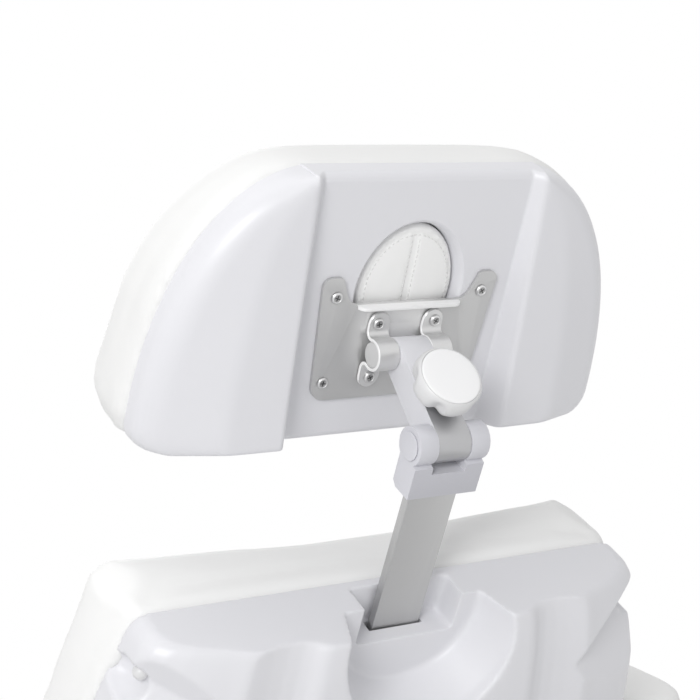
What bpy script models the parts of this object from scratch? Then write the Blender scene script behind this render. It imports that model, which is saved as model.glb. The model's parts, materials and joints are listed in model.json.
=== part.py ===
# Pedicure chair, in metres, +Z up, facing -Y, with the origin on the floor under the middle of the base.
# The backrest and the headrest each have their own datum: X across, Y to the rear, Z up along the piece.
import math

import bmesh
import bpy
from mathutils import Matrix, Vector

for leftover in list(bpy.data.objects):
    bpy.data.objects.remove(leftover, do_unlink=True)

# Fits
GAP = 0.0003            # between pieces that touch
RUN = 0.0005            # between pieces that slide or turn on each other
REACH = 0.2             # how far a cutter runs past what it cuts

# Base and lifting column
BASE_HALF_X = 0.300
BASE_HALF_Y = 0.350
BASE_PLATE = 0.014
COVER_WALL = 0.004
COVER_SHOULDER = 0.080
COVER_RISE = 0.032
COLUMN_HALF_X = 0.110
COLUMN_HALF_Y = 0.090
SLEEVE_WALL = 0.0045
OUTER_TOP = 0.255
MIDDLE_BOTTOM = 0.050
MIDDLE_TOP = 0.345
INNER_BOTTOM = 0.080
COLUMN_TOP = 0.450
COLUMN_CAP = 0.012
SPINDLE_R = 0.012
SPINDLE_BOTTOM = 0.060
LIFT_TUBE_R = 0.022
LIFT_TUBE_TOP = 0.330
LIFT_MOTOR_R = 0.042
LIFT_MOTOR_TOP = 0.052
BEARING_R = 0.085
BEARING_BORE = 0.060
BEARING_TALL = 0.020
INLET_HALF_X = 0.024
INLET_HALF_Z = 0.014
INLET_Z = 0.045
INLET_DEEP = 0.030

# Seat
SEAT_HALF_X = 0.268
SEAT_FRONT = -0.290
SEAT_BEHIND = 0.0789    # from the seat's rear to the recline hinge
SEAT_TALL = 0.0837
FRAME_TALL = 0.0763
PAN_DEEP = 0.016
PAN_WALL = 0.004
RAIL_X = 0.175
RAIL_WIDE = 0.030
FLOOR_PLATE = 0.010
RAIL_SHORT = 0.0089     # the rails end this far before the recline hinge

# Recline hinge and its drive
PIVOT_Y = 0.2589
PIVOT_RISE = 0.0956     # over the seat frame's underside
AXLE_R = 0.009
LUG_R = 0.022
LUG_THICK = 0.012
LEVER_LONG = 0.062
LEVER_BACK = math.radians(21.5)
LEVER_PLAY = 0.002
LEVER_THICK = 0.006
LEVER_PIN_R = 0.006
ROD_R = 0.009
ROD_RISE = 0.0394
FORK_HALF_X = 0.010
FORK_HALF_Y = 0.0165
FORK_HALF_Z = 0.0205
SLOT_PLAY = 0.0025
SLOT_HALF_Z = 0.0145
TUBE_R = 0.015
TUBE_FRONT = -0.045
TUBE_REAR = 0.150
ROD_FRONT = 0.020
MOTOR_FRONT = -0.150
MOTOR_HALF_X = 0.032
MOTOR_TALL = 0.045

# Backrest, measured from the slot that the height bar comes out of
LEAN = math.radians(24.63)
SLOT_UP = 0.520
SLOT_BACK = 0.020
BACK_TOP = 0.036
BACK_BOTTOM = -0.490
BACK_TOP_HALF = 0.230
BACK_WIDE_HALF = 0.275
BACK_WIDE_AT = -0.220
BACK_LOW_HALF = 0.240
BACK_CORNER = 0.022
BACK_SEAM = -0.021
BACK_FRONT = -0.090
CORNER_RISE = 0.022     # of the cushion's upper corners
CUSHION_CORNER = 0.010
CUSHION_FULL = 0.150    # the cushion is wider than the shell down to here
BACK_RIDGE = 0.050
BACK_FLARE = 0.026     # the rear flares out below the ridge
FLARE_LONG = 0.075
BACK_TAPER = 0.040
BACK_EDGE = 0.040       # the rear starts to fall this far from the side
BACK_FALL = 0.026
FLUTE_DEEP = 0.005
FLUTE_RISE = 0.001
FLUTE_END = 0.007
PAST = 0.01             # how far a cutter runs past a wall
SHELL_WALL = 0.003
DISH_R = 0.079
DISH_IN = 0.065
DISH_V = 0.024
DISH_FLOOR = 0.015
POCKET_HALF = 0.046
POCKET_WALL = -0.012
SLOT_END = 0.003
SLOT_PLAY_W = 0.0015
RECESS_R = 0.024
RECESS_OUT = 0.016
RECESS_V = -0.006
RECESS_W = 0.002
GRIP_X = 0.228         # hollow of the rear corner behind each recess
GRIP_W = 0.052
GRIP_R = 0.034
GRIP_TALL = 0.018
PEG_R = 0.0064
PEG_LONG = 0.010        # in front of the recess
PEG_IN = 0.008
PEG_UP = 0.006
PANEL_THICK = 0.0055
PANEL_HALF = 0.190
PANEL_TOP = -0.020
PANEL_MARGIN = 0.020
SPINE_HALF = 0.060
SPINE_ROOM = 0.035
SPINE_DEEP = 0.032
CROSS_TALL = 0.030

# Height bar, clevis and neck link
BAR_WIDE = 0.045
BAR_THICK = 0.008
BAR_IN = 0.014
BAR_BOTTOM = -0.190
GUIDE_WALL = 0.008
GUIDE_REAR = 0.006
GUIDE_TOP = -0.015
GUIDE_BOTTOM = -0.080
STOP_R = 0.005
STOP_UP = 0.012
STOP_REAR = 0.005
NECK_RISE = 0.0404
EAR_R = 0.0155
CLEVIS_HALF = 0.032
CLEVIS_UNDER = 0.136
CLEVIS_FRONT = -0.0135
CLEVIS_REAR = 0.010
CLEVIS_FLOOR = 0.019
CLEVIS_SHOULDER = 0.0134
LINK_HALF = 0.015
LINK_LONG = 0.0828
LINK_LEAN = math.radians(39.4)
LINK_HALF_DEEP = 0.014
KNUCKLE_R = 0.013
LOWER_PIN_R = 0.006
UPPER_PIN_R = 0.005
KNOB_UP = 0.0354
KNOB_R = 0.0275
KNOB_LOBES = 8
KNOB_LOBE = 0.0012
BOSS_TALL = 0.0035
KNOB_TALL = 0.0225
CAP_RIM = 0.003
CAP_THICK = 0.0025
STUD_R = 0.004
STUD_IN = 0.020
STUD_UP = 0.0115
BOSS_R = 0.0125

# Headrest, measured from its rear panel at the upper hinge screws
HEAD_LEAN = math.radians(21.17)
HINGE_V = -0.0228
KNUCKLE_PLAY = 0.0007
HEAD_TOP = 0.123
HEAD_BOTTOM = -0.104
HEAD_HALF = 0.219
HEAD_FLAT = 0.094
HEAD_CORNER = 0.024
HEAD_SEAM = -0.020
HEAD_FRONT = -0.096
HEAD_CROWN = 0.008
WING_FOOT = 0.0955
WING_STEP = 0.008
WING_RISE = 0.028
WING_RIM = 0.007
UNDER_FADE = 0.045      # the level underside reaches this far up
HOLE_V = 0.0225
HOLE_HALF_X = 0.046
HOLE_HALF_V = 0.056
PLUG_PLAY = 0.0012
PLUG_REAR = -0.004
BOARD_SIDE = 0.0051
BOARD_FOOT = 0.014
BOARD_HEAD = 0.011
PLATE_THICK = 0.003
PLATE_TOP_HALF = 0.081
PLATE_LOW_HALF = 0.074
PLATE_TOP = 0.0385
PLATE_BOTTOM = -0.068
PLATE_CORNER = 0.013
CUT_V = 0.015
CUT_HALF = 0.0455
EAR_INNER = 0.062
LIP_DEEP = 0.011
LIP_THICK = 0.0025
EAR_SCREW = (0.0675, 0.022)
LOW_SCREW = (0.065, -0.052)
STRAP_TOP_SCREW = (0.0265, -0.001)
STRAP_LOW_SCREW = (0.0245, -0.048)
SCREW_HEAD_R = 0.0045
SCREW_HEAD = 0.003
SCREW_R = 0.002
SCREW_LONG = 0.010
STRAP_OUTER = 0.0345
STRAP_THICK = 0.003
STRAP_BOTTOM = -0.057
STRAP_HEAD = 0.0095     # over its upper screw
PIN_HEAD_R = 0.0085
PIN_HEAD = 0.0025

# Armrests
ARM_PLAY = 0.005
ARM_WIDE = 0.095
ARM_AHEAD = 0.228       # of its hinge
ARM_BEHIND = 0.194
ARM_RISE = 0.342        # over the seat frame's underside
ARM_TRAY = 0.036
ARM_PAD = 0.045
ARM_HINGE_BACK = 0.022
ARM_HINGE_UP = 0.019
ARM_PIN_R = 0.009
ARM_PIN_LONG = 0.032
POST_PLAY = 0.011
POST_THICK = 0.014
POST_HALF_Y = 0.024
POST_FOOT_TALL = 0.030

# Leg rests
LEG_AHEAD = 0.020
LEG_RISE = 0.035
LEG_DOWN = math.radians(35)
LEG_SPLIT = 0.014
LEG_HALF_X = 0.123
LEG_START = 0.024
LEG_LONG = 0.430
LEG_UNDER = 0.0125
LEG_TRAY = 0.0288
LEG_PAD = 0.0837
LEG_WALL = 0.004
LEG_SHAFT_R = 0.008
LEG_BARREL_R = 0.013
LEG_ARM_HALF = 0.030
LEG_ARM_PLAY = 0.008
LEG_ARM_THICK = 0.010
LEG_ARM_LONG = 0.330
GUIDE_STRIP = 0.006

# Places that follow from the sizes
cover_top = COVER_SHOULDER + COVER_RISE
frame_under = COLUMN_TOP + BEARING_TALL
cushion_under = frame_under + FRAME_TALL
seat_top = cushion_under + SEAT_TALL
pivot_z = frame_under + PIVOT_RISE
seat_rear = PIVOT_Y - SEAT_BEHIND
rail_rear = PIVOT_Y - RAIL_SHORT
rod_z = frame_under + ROD_RISE
leg_y = SEAT_FRONT - LEG_AHEAD
leg_z = frame_under + LEG_RISE
panel_bottom = BACK_BOTTOM + PANEL_MARGIN
spine_top = BAR_BOTTOM - SPINE_ROOM
bar_top = CLEVIS_UNDER + BAR_IN
neck_v = CLEVIS_UNDER + NECK_RISE
guide_half = BAR_WIDE / 2 + GUIDE_WALL
slot_half = BAR_WIDE / 2 + SLOT_END
stop_v = BAR_BOTTOM + STOP_UP
recess_x = BACK_TOP_HALF + RECESS_OUT
knob_stand = LINK_HALF_DEEP + BOSS_TALL
cap_r = KNOB_R - CAP_RIM
wing_edge = WING_FOOT + WING_STEP
plate_rear = GAP + PLATE_THICK
hinge_w = plate_rear + KNUCKLE_R + KNUCKLE_PLAY
post_inner = max(SEAT_HALF_X, BACK_WIDE_HALF) + POST_PLAY
post_outer = post_inner + POST_THICK
arm_inner_x = post_outer + ARM_PLAY
arm_outer_x = arm_inner_x + ARM_WIDE
arm_under = frame_under + ARM_RISE
arm_seam = arm_under + ARM_TRAY
arm_top_z = arm_seam + ARM_PAD
arm_pivot_y = rail_rear - ARM_HINGE_BACK
arm_pivot_z = arm_under + ARM_HINGE_UP
arm_front = arm_pivot_y - ARM_AHEAD
arm_rear = arm_pivot_y + ARM_BEHIND
leg_seam = LEG_UNDER + LEG_TRAY
leg_top = leg_seam + LEG_PAD
leg_arm_x = RAIL_X - LEG_ARM_HALF - LEG_ARM_PLAY
leg_pad_x = LEG_HALF_X + LEG_SPLIT

parts = bpy.data.collections.new("pedicure_chair")
cutters = bpy.data.collections.new("cutters")
bpy.context.scene.collection.children.link(parts)
bpy.context.scene.collection.children.link(cutters)


def finish(name, colour, roughness, metallic=0.0):
    made = bpy.data.materials.new(name)
    made.use_nodes = True
    shader = made.node_tree.nodes["Principled BSDF"]
    shader.inputs["Base Color"].default_value = (*colour, 1)
    shader.inputs["Roughness"].default_value = roughness
    shader.inputs["Metallic"].default_value = metallic
    return made


white_vinyl = finish("white_vinyl", (0.90, 0.90, 0.89), 0.45)
shell_white = finish("shell_white", (0.76, 0.77, 0.78), 0.35)
satin_steel = finish("satin_steel", (0.62, 0.62, 0.63), 0.32, 1.0)
painted_steel = finish("painted_steel", (0.60, 0.61, 0.63), 0.40)
white_plastic = finish("white_plastic", (0.86, 0.86, 0.86), 0.30)
dark_steel = finish("dark_steel", (0.10, 0.10, 0.11), 0.35, 1.0)
black_plastic = finish("black_plastic", (0.02, 0.02, 0.02), 0.50)
plywood = finish("plywood", (0.55, 0.40, 0.25), 0.70)


def axis(name, place, turn=0.0, parent=None):
    made = bpy.data.objects.new(name, None)
    made.location = place
    made.rotation_euler = (turn, 0, 0)
    made.parent = parent
    parts.objects.link(made)
    return made


def meshOf(shape):
    bmesh.ops.remove_doubles(shape, verts=shape.verts, dist=1e-6)
    bmesh.ops.recalc_face_normals(shape, faces=shape.faces)
    bmesh.ops.triangulate(shape, faces=shape.faces)
    mesh = bpy.data.meshes.new("shape")
    shape.to_mesh(mesh)
    shape.free()
    return mesh


def piece(name, shape, material, parent):
    mesh = meshOf(shape)
    mesh.name = name
    mesh.materials.append(material)
    mesh.shade_smooth()
    mesh.set_sharp_from_angle(angle=math.radians(35))
    made = bpy.data.objects.new(name, mesh)
    made.parent = parent
    parts.objects.link(made)
    return made


def combine(target, shape, operation):
    made = bpy.data.objects.new(target.name + "_" + operation.lower(), meshOf(shape))
    made.parent = target.parent
    made.hide_render = True
    made.display_type = "WIRE"
    cutters.objects.link(made)
    step = target.modifiers.new(operation.lower(), "BOOLEAN")
    step.operation = operation
    step.object = made
    return made


def cut(target, shape):
    return combine(target, shape, "DIFFERENCE")


def weld(target, shape):
    return combine(target, shape, "UNION")


def loft(rings, loop=False, into=None):
    shape = into or bmesh.new()
    rows = [[shape.verts.new(point) for point in ring] for ring in rings]
    pairs = list(zip(rows, rows[1:]))
    if loop:
        pairs.append((rows[-1], rows[0]))
    for low, high in pairs:
        for i in range(len(low)):
            j = (i + 1) % len(low)
            shape.faces.new((low[i], low[j], high[j], high[i]))
    if not loop:
        shape.faces.new(rows[0])
        shape.faces.new(rows[-1])
    return shape


def box(low, high, into=None):
    shape = into or bmesh.new()
    size = [b - a for a, b in zip(low, high)]
    middle = [(a + b) / 2 for a, b in zip(low, high)]
    place = Matrix.Translation(middle) @ Matrix.Diagonal((*size, 1))
    bmesh.ops.create_cube(shape, size=1, matrix=place)
    return shape


def rod(radius, start, end, sides=16, into=None):
    shape = into or bmesh.new()
    start, end = Vector(start), Vector(end)
    along = end - start
    turn = along.to_track_quat("Z", "Y").to_matrix().to_4x4()
    place = Matrix.Translation((start + end) / 2) @ turn
    bmesh.ops.create_cone(shape, cap_ends=True, segments=sides, radius1=radius, radius2=radius,
                          depth=along.length, matrix=place)
    return shape


def across(points, low, high):
    """A side view (y, z), given thickness along X."""
    return loft([[(x, y, z) for y, z in points] for x in (low, high)])


def arc(middle, radius, start, end, steps):
    angles = [math.radians(start + (end - start) * i / steps) for i in range(steps + 1)]
    return [(middle[0] + radius * math.cos(a), middle[1] + radius * math.sin(a)) for a in angles]


def oval(half_x, half_y, power, count=32, middle=(0, 0)):
    ring = []
    for i in range(count):
        a = 2 * math.pi * (i + 0.5) / count
        c, s = math.cos(a), math.sin(a)
        x = half_x * math.copysign(abs(c) ** (2 / power), c)
        y = half_y * math.copysign(abs(s) ** (2 / power), s)
        ring.append((middle[0] + x, middle[1] + y))
    return ring


def level(ring, z):
    return [(x, y, z) for x, y in ring]


def headedPin(radius, head_r, half, head, sides=14):
    spots = [(head_r, -half - head), (head_r, -half), (radius, -half),
             (radius, half), (head_r, half), (head_r, half + head)]
    angles = [2 * math.pi * i / sides for i in range(sides)]
    return [[(x, r * math.cos(a), r * math.sin(a)) for a in angles] for r, x in spots]


# Axes of the moving bodies
base = axis("base_axis", (0, 0, 0))
middle_axis = axis("middle_sleeve_axis", (0, 0, 0), parent=base)
lift = axis("lift_axis", (0, 0, 0), parent=base)
swivel = axis("swivel_axis", (0, 0, 0), parent=lift)
recline = axis("recline_axis", (0, PIVOT_Y, pivot_z), -LEAN, swivel)
back = axis("backrest_datum", (0, SLOT_BACK, SLOT_UP), parent=recline)
bar_axis = axis("height_axis", (0, SLOT_BACK, SLOT_UP), parent=recline)
neck = axis("neck_axis", (0, -BAR_THICK / 2, neck_v), LEAN + LINK_LEAN, bar_axis)
knob_axis = axis("knob_axis", (0, 0, KNOB_UP), parent=neck)
head_axis = axis("head_axis", (0, 0, LINK_LONG), -LINK_LEAN - HEAD_LEAN, neck)
head = axis("head_datum", (0, -hinge_w, -HINGE_V), parent=head_axis)
plug_axis = axis("plug_axis", (0, -hinge_w, -HINGE_V), parent=head_axis)
drive = axis("drive_axis", (0, 0, rod_z), parent=swivel)

# Base plate, cover and lifting column
base_power = 4
base_ring = oval(BASE_HALF_X, BASE_HALF_Y, base_power, 24)
piece("base_plate", loft([level(base_ring, 0), level(base_ring, BASE_PLATE)]), painted_steel, base)


def coverRing(inset, z, shrink=0.0):
    return level(oval(BASE_HALF_X - inset - shrink, BASE_HALF_Y - inset - shrink, base_power, 24), z)


def collarRing(inset, z):
    return level(oval(COLUMN_HALF_X + RUN - inset, COLUMN_HALF_Y + RUN - inset, 6, 24), z)


cover_foot = BASE_PLATE + GAP
base_cover = piece("base_cover", loft([
    coverRing(0, cover_foot),
    coverRing(0, COVER_SHOULDER * 0.6),
    coverRing(0, COVER_SHOULDER, 0.018),
    coverRing(0, COVER_SHOULDER + 0.012, 0.060),
    collarRing(-0.030, cover_top - 0.004),
    collarRing(-0.012, cover_top),
    collarRing(0, cover_top),
    collarRing(0, cover_top - COVER_WALL - 0.006),
    collarRing(-0.030, cover_top - COVER_WALL - 0.006),
    coverRing(COVER_WALL, COVER_SHOULDER + 0.012 - COVER_WALL, 0.060),
    coverRing(COVER_WALL, COVER_SHOULDER - COVER_WALL, 0.018),
    coverRing(COVER_WALL, cover_foot),
], loop=True), white_plastic, base)

inlet_rear = BASE_HALF_Y + 0.002
cut(base_cover, box((-INLET_HALF_X - GAP, BASE_HALF_Y - INLET_DEEP - 0.01, INLET_Z - INLET_HALF_Z - GAP),
                    (INLET_HALF_X + GAP, inlet_rear + 0.01, INLET_Z + INLET_HALF_Z + GAP)))
mains_inlet = piece("mains_inlet", box((-INLET_HALF_X, BASE_HALF_Y - INLET_DEEP, INLET_Z - INLET_HALF_Z),
                                       (INLET_HALF_X, inlet_rear, INLET_Z + INLET_HALF_Z)),
                    black_plastic, base)
cut(mains_inlet, box((-INLET_HALF_X + 0.008, inlet_rear - 0.016, INLET_Z - INLET_HALF_Z + 0.005),
                     (INLET_HALF_X - 0.008, inlet_rear + 0.01, INLET_Z + INLET_HALF_Z - 0.005)))


def sleeveRing(inset, z):
    return level(oval(COLUMN_HALF_X - inset, COLUMN_HALF_Y - inset, 6, 24), z)


def sleeve(inset, low, high):
    inner = inset + SLEEVE_WALL
    return loft([sleeveRing(inset, low), sleeveRing(inset, high), sleeveRing(inner, high),
                 sleeveRing(inner, low)], loop=True)


nest = SLEEVE_WALL + RUN
piece("column_outer", sleeve(0, cover_foot, OUTER_TOP), white_plastic, base)
piece("column_middle", sleeve(nest, MIDDLE_BOTTOM, MIDDLE_TOP), painted_steel, middle_axis)
inner_wall = 2 * nest + SLEEVE_WALL
column_inner = piece("column_inner", loft([
    sleeveRing(inner_wall, COLUMN_TOP - COLUMN_CAP),
    sleeveRing(inner_wall, INNER_BOTTOM),
    sleeveRing(2 * nest, INNER_BOTTOM),
    sleeveRing(2 * nest, COLUMN_TOP),
]), painted_steel, lift)

lift_motor = piece("lift_motor", rod(LIFT_MOTOR_R, (0, 0, cover_foot), (0, 0, LIFT_MOTOR_TOP), 24),
                   black_plastic, base)
weld(lift_motor, rod(LIFT_TUBE_R, (0, 0, LIFT_MOTOR_TOP - 0.01), (0, 0, LIFT_TUBE_TOP)))
cut(lift_motor, rod(SPINDLE_R + RUN, (0, 0, SPINDLE_BOTTOM - 0.002), (0, 0, LIFT_TUBE_TOP + 0.01)))
piece("lift_spindle", rod(SPINDLE_R, (0, 0, SPINDLE_BOTTOM), (0, 0, COLUMN_TOP - COLUMN_CAP - GAP)),
      satin_steel, lift)

bearing_foot = COLUMN_TOP + GAP
bearing_top = frame_under - GAP
turns = [2 * math.pi * i / 24 for i in range(24)]
piece("swivel_bearing", loft([
    [(r * math.cos(a), r * math.sin(a), z) for a in turns]
    for r, z in ((BEARING_R, bearing_foot), (BEARING_R, bearing_top),
                 (BEARING_BORE, bearing_top), (BEARING_BORE, bearing_foot))
], loop=True), satin_steel, lift)

# Seat frame, pan, board and cushion
rail_under = frame_under + FLOOR_PLATE
pan_under = cushion_under - GAP - PAN_DEEP
rail_top = pan_under - GAP
rail_outer = RAIL_X + RAIL_WIDE
floor_plate = box((-rail_outer, SEAT_FRONT, frame_under), (rail_outer, rail_rear, rail_under))
seat_frame = piece("seat_frame", floor_plate, painted_steel, swivel)
lug_low = rail_under - 0.002
rear_lug = [(rail_rear - 0.040, lug_low), (rail_rear, lug_low)]
rear_lug += arc((PIVOT_Y, pivot_z), LUG_R, -35, 150, 12)
front_lug = [(SEAT_FRONT + 0.030, lug_low), (SEAT_FRONT + 0.030, rail_top)]
front_lug += arc((leg_y, leg_z), LEG_BARREL_R + 0.002, 90, 270, 8)
for side in (-1, 1):
    rail = sorted((side * RAIL_X, side * rail_outer))
    weld(seat_frame, box((rail[0], SEAT_FRONT, lug_low), (rail[1], rail_rear, rail_top)))
    lug = sorted((side * RAIL_X, side * (RAIL_X + LUG_THICK)))
    weld(seat_frame, across(rear_lug, *lug))
    weld(seat_frame, across(front_lug, *lug))
bores = rod(AXLE_R + RUN, (-0.3, PIVOT_Y, pivot_z), (0.3, PIVOT_Y, pivot_z))
rod(LEG_SHAFT_R + RUN, (-0.3, leg_y, leg_z), (0.3, leg_y, leg_z), into=bores)
cut(seat_frame, bores)

axle_half = RAIL_X + 2 * LUG_THICK + 0.003
piece("recline_axle", rod(AXLE_R, (-axle_half, PIVOT_Y, pivot_z), (axle_half, PIVOT_Y, pivot_z)),
      satin_steel, swivel)
shaft_half = RAIL_X + LUG_THICK + 0.004
piece("leg_hinge_shaft", rod(LEG_SHAFT_R, (-shaft_half, leg_y, leg_z), (shaft_half, leg_y, leg_z)),
      satin_steel, swivel)

seat_middle = (0, (SEAT_FRONT + seat_rear) / 2)
seat_half_y = (seat_rear - SEAT_FRONT) / 2


def seatRing(inset, z):
    return level(oval(SEAT_HALF_X - inset, seat_half_y - inset, 7, 32, seat_middle), z)


pan_floor = pan_under + PAN_WALL
seat_seam = cushion_under - GAP
piece("seat_pan", loft([
    seatRing(PAN_WALL, pan_floor),
    seatRing(PAN_WALL, seat_seam),
    seatRing(0, seat_seam),
    seatRing(0, pan_under + 0.006),
    seatRing(0.010, pan_under),
]), white_plastic, swivel)
board_inset = PAN_WALL + GAP
piece("seat_board", loft([seatRing(board_inset, pan_floor + GAP), seatRing(board_inset, seat_seam)]),
      plywood, swivel)


def padRings(ring_of, low, high, bulge, crown, roll):
    """Drawn in at the seam, swelling at mid height, rolled over to a crowned top."""
    tall = high - low
    return [ring_of(0.004, low), ring_of(-bulge, low + 0.35 * tall), ring_of(0, low + 0.68 * tall),
            ring_of(0.10 * roll, low + 0.86 * tall), ring_of(0.34 * roll, high - crown),
            ring_of(0.95 * roll, high - 0.25 * crown), ring_of(1.2 * roll, high)]


seat_pad = loft(padRings(seatRing, cushion_under, seat_top, 0.004, 0.008, SEAT_TALL))
piece("seat_cushion", seat_pad, white_vinyl, swivel)

# Recline drive: a spindle motor along the seat, whose fork holds the lever's pin in an upright slot
pin_y = PIVOT_Y + LEVER_LONG * math.sin(LEVER_BACK)
pin_z = pivot_z - LEVER_LONG * math.cos(LEVER_BACK)
recline_motor = piece("recline_motor", box((-MOTOR_HALF_X, MOTOR_FRONT, rail_under + GAP),
                                           (MOTOR_HALF_X, TUBE_FRONT, rail_under + GAP + MOTOR_TALL)),
                      black_plastic, swivel)
weld(recline_motor, rod(TUBE_R, (0, TUBE_FRONT - 0.01, rod_z), (0, TUBE_REAR, rod_z)))
cut(recline_motor, rod(ROD_R + RUN, (0, TUBE_FRONT - 0.005, rod_z), (0, TUBE_REAR + 0.01, rod_z)))
drive_rod = piece("drive_rod", rod(ROD_R, (0, ROD_FRONT, 0), (0, pin_y - FORK_HALF_Y + 0.004, 0)),
                  satin_steel, drive)
weld(drive_rod, box((-FORK_HALF_X, pin_y - FORK_HALF_Y, -FORK_HALF_Z),
                    (FORK_HALF_X, pin_y + FORK_HALF_Y, FORK_HALF_Z)))
slot_half_y = LEVER_PIN_R + SLOT_PLAY
cut(drive_rod, box((-2 * FORK_HALF_X, pin_y - slot_half_y, -SLOT_HALF_Z),
                   (2 * FORK_HALF_X, pin_y + slot_half_y, SLOT_HALF_Z)))

# Backrest frame, in the recline axis's own directions
panel_rear = BACK_SEAM + GAP + PANEL_THICK
frame_front = SLOT_BACK + panel_rear + GAP
frame_rear = frame_front + SPINE_DEEP
cross_low = SLOT_UP + BACK_BOTTOM + 0.004
cross_high = cross_low + CROSS_TALL
arm_inner = RAIL_X + LUG_THICK + RUN
arm_outer = arm_inner + LUG_THICK
cross_bar = box((-arm_outer, frame_front, cross_low), (arm_outer, frame_rear, cross_high))
backrest_frame = piece("backrest_frame", cross_bar, painted_steel, recline)
weld(backrest_frame, box((-SPINE_HALF, frame_front, cross_high - 0.01),
                         (SPINE_HALF, frame_rear, SLOT_UP + spine_top)))
turn_lever = Matrix.Rotation(LEAN, 2)
lever_end = turn_lever @ Vector((pin_y - PIVOT_Y, pin_z - pivot_z))
lever_eye = LEVER_PIN_R + 0.006
lever_x = FORK_HALF_X + LEVER_PLAY
lever = [(frame_front + 0.004, cross_high - 0.004), (frame_front + 0.004, cross_low)]
lever += arc(lever_end, lever_eye, 190, 360, 8)
lever += [(frame_rear, cross_low), (frame_rear, cross_high - 0.004)]
arm_eye = arc((0, 0), LUG_R - 0.004, 120, 330, 12)
arm_high = cross_high - 0.004
arm_plate = [(frame_rear, arm_high), (frame_front, arm_high), (frame_front, cross_low)] + arm_eye
for side in (-1, 1):
    weld(backrest_frame, across(lever, *sorted((side * lever_x, side * (lever_x + LEVER_THICK)))))
    weld(backrest_frame, across(arm_plate, *sorted((side * arm_inner, side * arm_outer))))
lever_reach = lever_x + LEVER_THICK + 0.001
weld(backrest_frame, rod(LEVER_PIN_R, (-lever_reach, *lever_end), (lever_reach, *lever_end)))
cut(backrest_frame, rod(AXLE_R + RUN, (-0.3, 0, 0), (0.3, 0, 0)))

# Backrest shell: an outer body less an inner one, with the dish, the pocket and the side recesses in both
BACK_ROWS = (0, 0.004, 0.014, 0.030, 0.070, 0.130, 0.200, 0.256, 0.330, 0.410, 0.470, 0.508, 0.521, 0.526)


def backHalf(v, corner=BACK_CORNER):
    if v > BACK_WIDE_AT:
        share = (v - BACK_WIDE_AT) / (BACK_TOP - BACK_WIDE_AT)
        half = BACK_WIDE_HALF - (BACK_WIDE_HALF - BACK_TOP_HALF) * share ** 1.6
    else:
        share = (BACK_WIDE_AT - v) / (BACK_WIDE_AT - BACK_BOTTOM)
        half = BACK_WIDE_HALF - (BACK_WIDE_HALF - BACK_LOW_HALF) * share ** 2
    short = max(0.0, corner - min(BACK_TOP - v, v - BACK_BOTTOM))
    return half - corner + math.sqrt(max(0.0, corner ** 2 - short ** 2))


def backRows(low, high):
    tall = BACK_TOP - BACK_BOTTOM
    shares = [d / BACK_ROWS[-1] for d in BACK_ROWS]
    return [(BACK_TOP - s * tall, high - s * (high - low)) for s in shares]


def backSection(v, at, inset, front):
    half = backHalf(v) - inset
    down = BACK_TOP - v
    share = down / (BACK_TOP - BACK_BOTTOM)
    swell = BACK_RIDGE + BACK_FLARE * (1 - math.exp(-down / FLARE_LONG)) - BACK_TAPER * share ** 2
    flat = half - BACK_EDGE
    right = [(0.0, swell), (0.40 * flat, swell), (0.60 * flat, swell - FLUTE_DEEP),
             (0.79 * flat, swell - FLUTE_DEEP + FLUTE_RISE), (flat, swell - FLUTE_END),
             (half - BACK_FALL, 0.70 * swell), (half, 0.20 * swell)]
    right = [(x, w - inset) for x, w in right] + [(half, front)]
    left = [(-x, w) for x, w in reversed(right[1:])]
    return [(x, w, at) for x, w in left + right]


def backBody(inset, low, high, front):
    return loft([backSection(v, at, inset, front) for v, at in backRows(low, high)])


def dish(grow, into):
    turns = [2 * math.pi * i / 32 for i in range(32)]
    spots = [(DISH_IN + grow, DISH_FLOOR - grow), (DISH_R + grow, BACK_RIDGE), (DISH_R + grow, BACK_RIDGE + REACH)]
    return loft([[(r * math.cos(a), w, DISH_V + r * math.sin(a)) for a in turns] for r, w in spots], into=into)


def recesses(grow, into):
    for side in (-1, 1):
        place = Matrix.Translation((side * recess_x, RECESS_W, RECESS_V))
        bmesh.ops.create_uvsphere(into, u_segments=16, v_segments=10, radius=RECESS_R + grow, matrix=place)


def grips(grow, into):
    for side in (-1, 1):
        size = Matrix.Diagonal((GRIP_R + grow, GRIP_R + grow, GRIP_TALL + grow, 1))
        place = Matrix.Translation((side * GRIP_X, GRIP_W, RECESS_V)) @ size
        bmesh.ops.create_uvsphere(into, u_segments=20, v_segments=10, radius=1, matrix=place)


def pocket(grow, into):
    box((-POCKET_HALF - grow, POCKET_WALL - grow, -grow), (POCKET_HALF + grow, REACH, REACH), into)


backrest_shell = piece("backrest_shell", backBody(0, BACK_BOTTOM, BACK_TOP, BACK_SEAM), shell_white, back)
hollow_low = BACK_BOTTOM - PAST
hollow_front = BACK_SEAM - PAST
void = cut(backrest_shell, backBody(SHELL_WALL, hollow_low, BACK_TOP - SHELL_WALL, hollow_front))
for target, grow in ((void, SHELL_WALL), (backrest_shell, 0.0)):
    for form in (dish, pocket, recesses, grips):
        shape = bmesh.new()
        form(grow, shape)
        cut(target, shape)
cut(backrest_shell, box((-slot_half, -BAR_THICK - SLOT_PLAY_W, -2 * PAST), (slot_half, SLOT_PLAY_W, PAST)))

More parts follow.
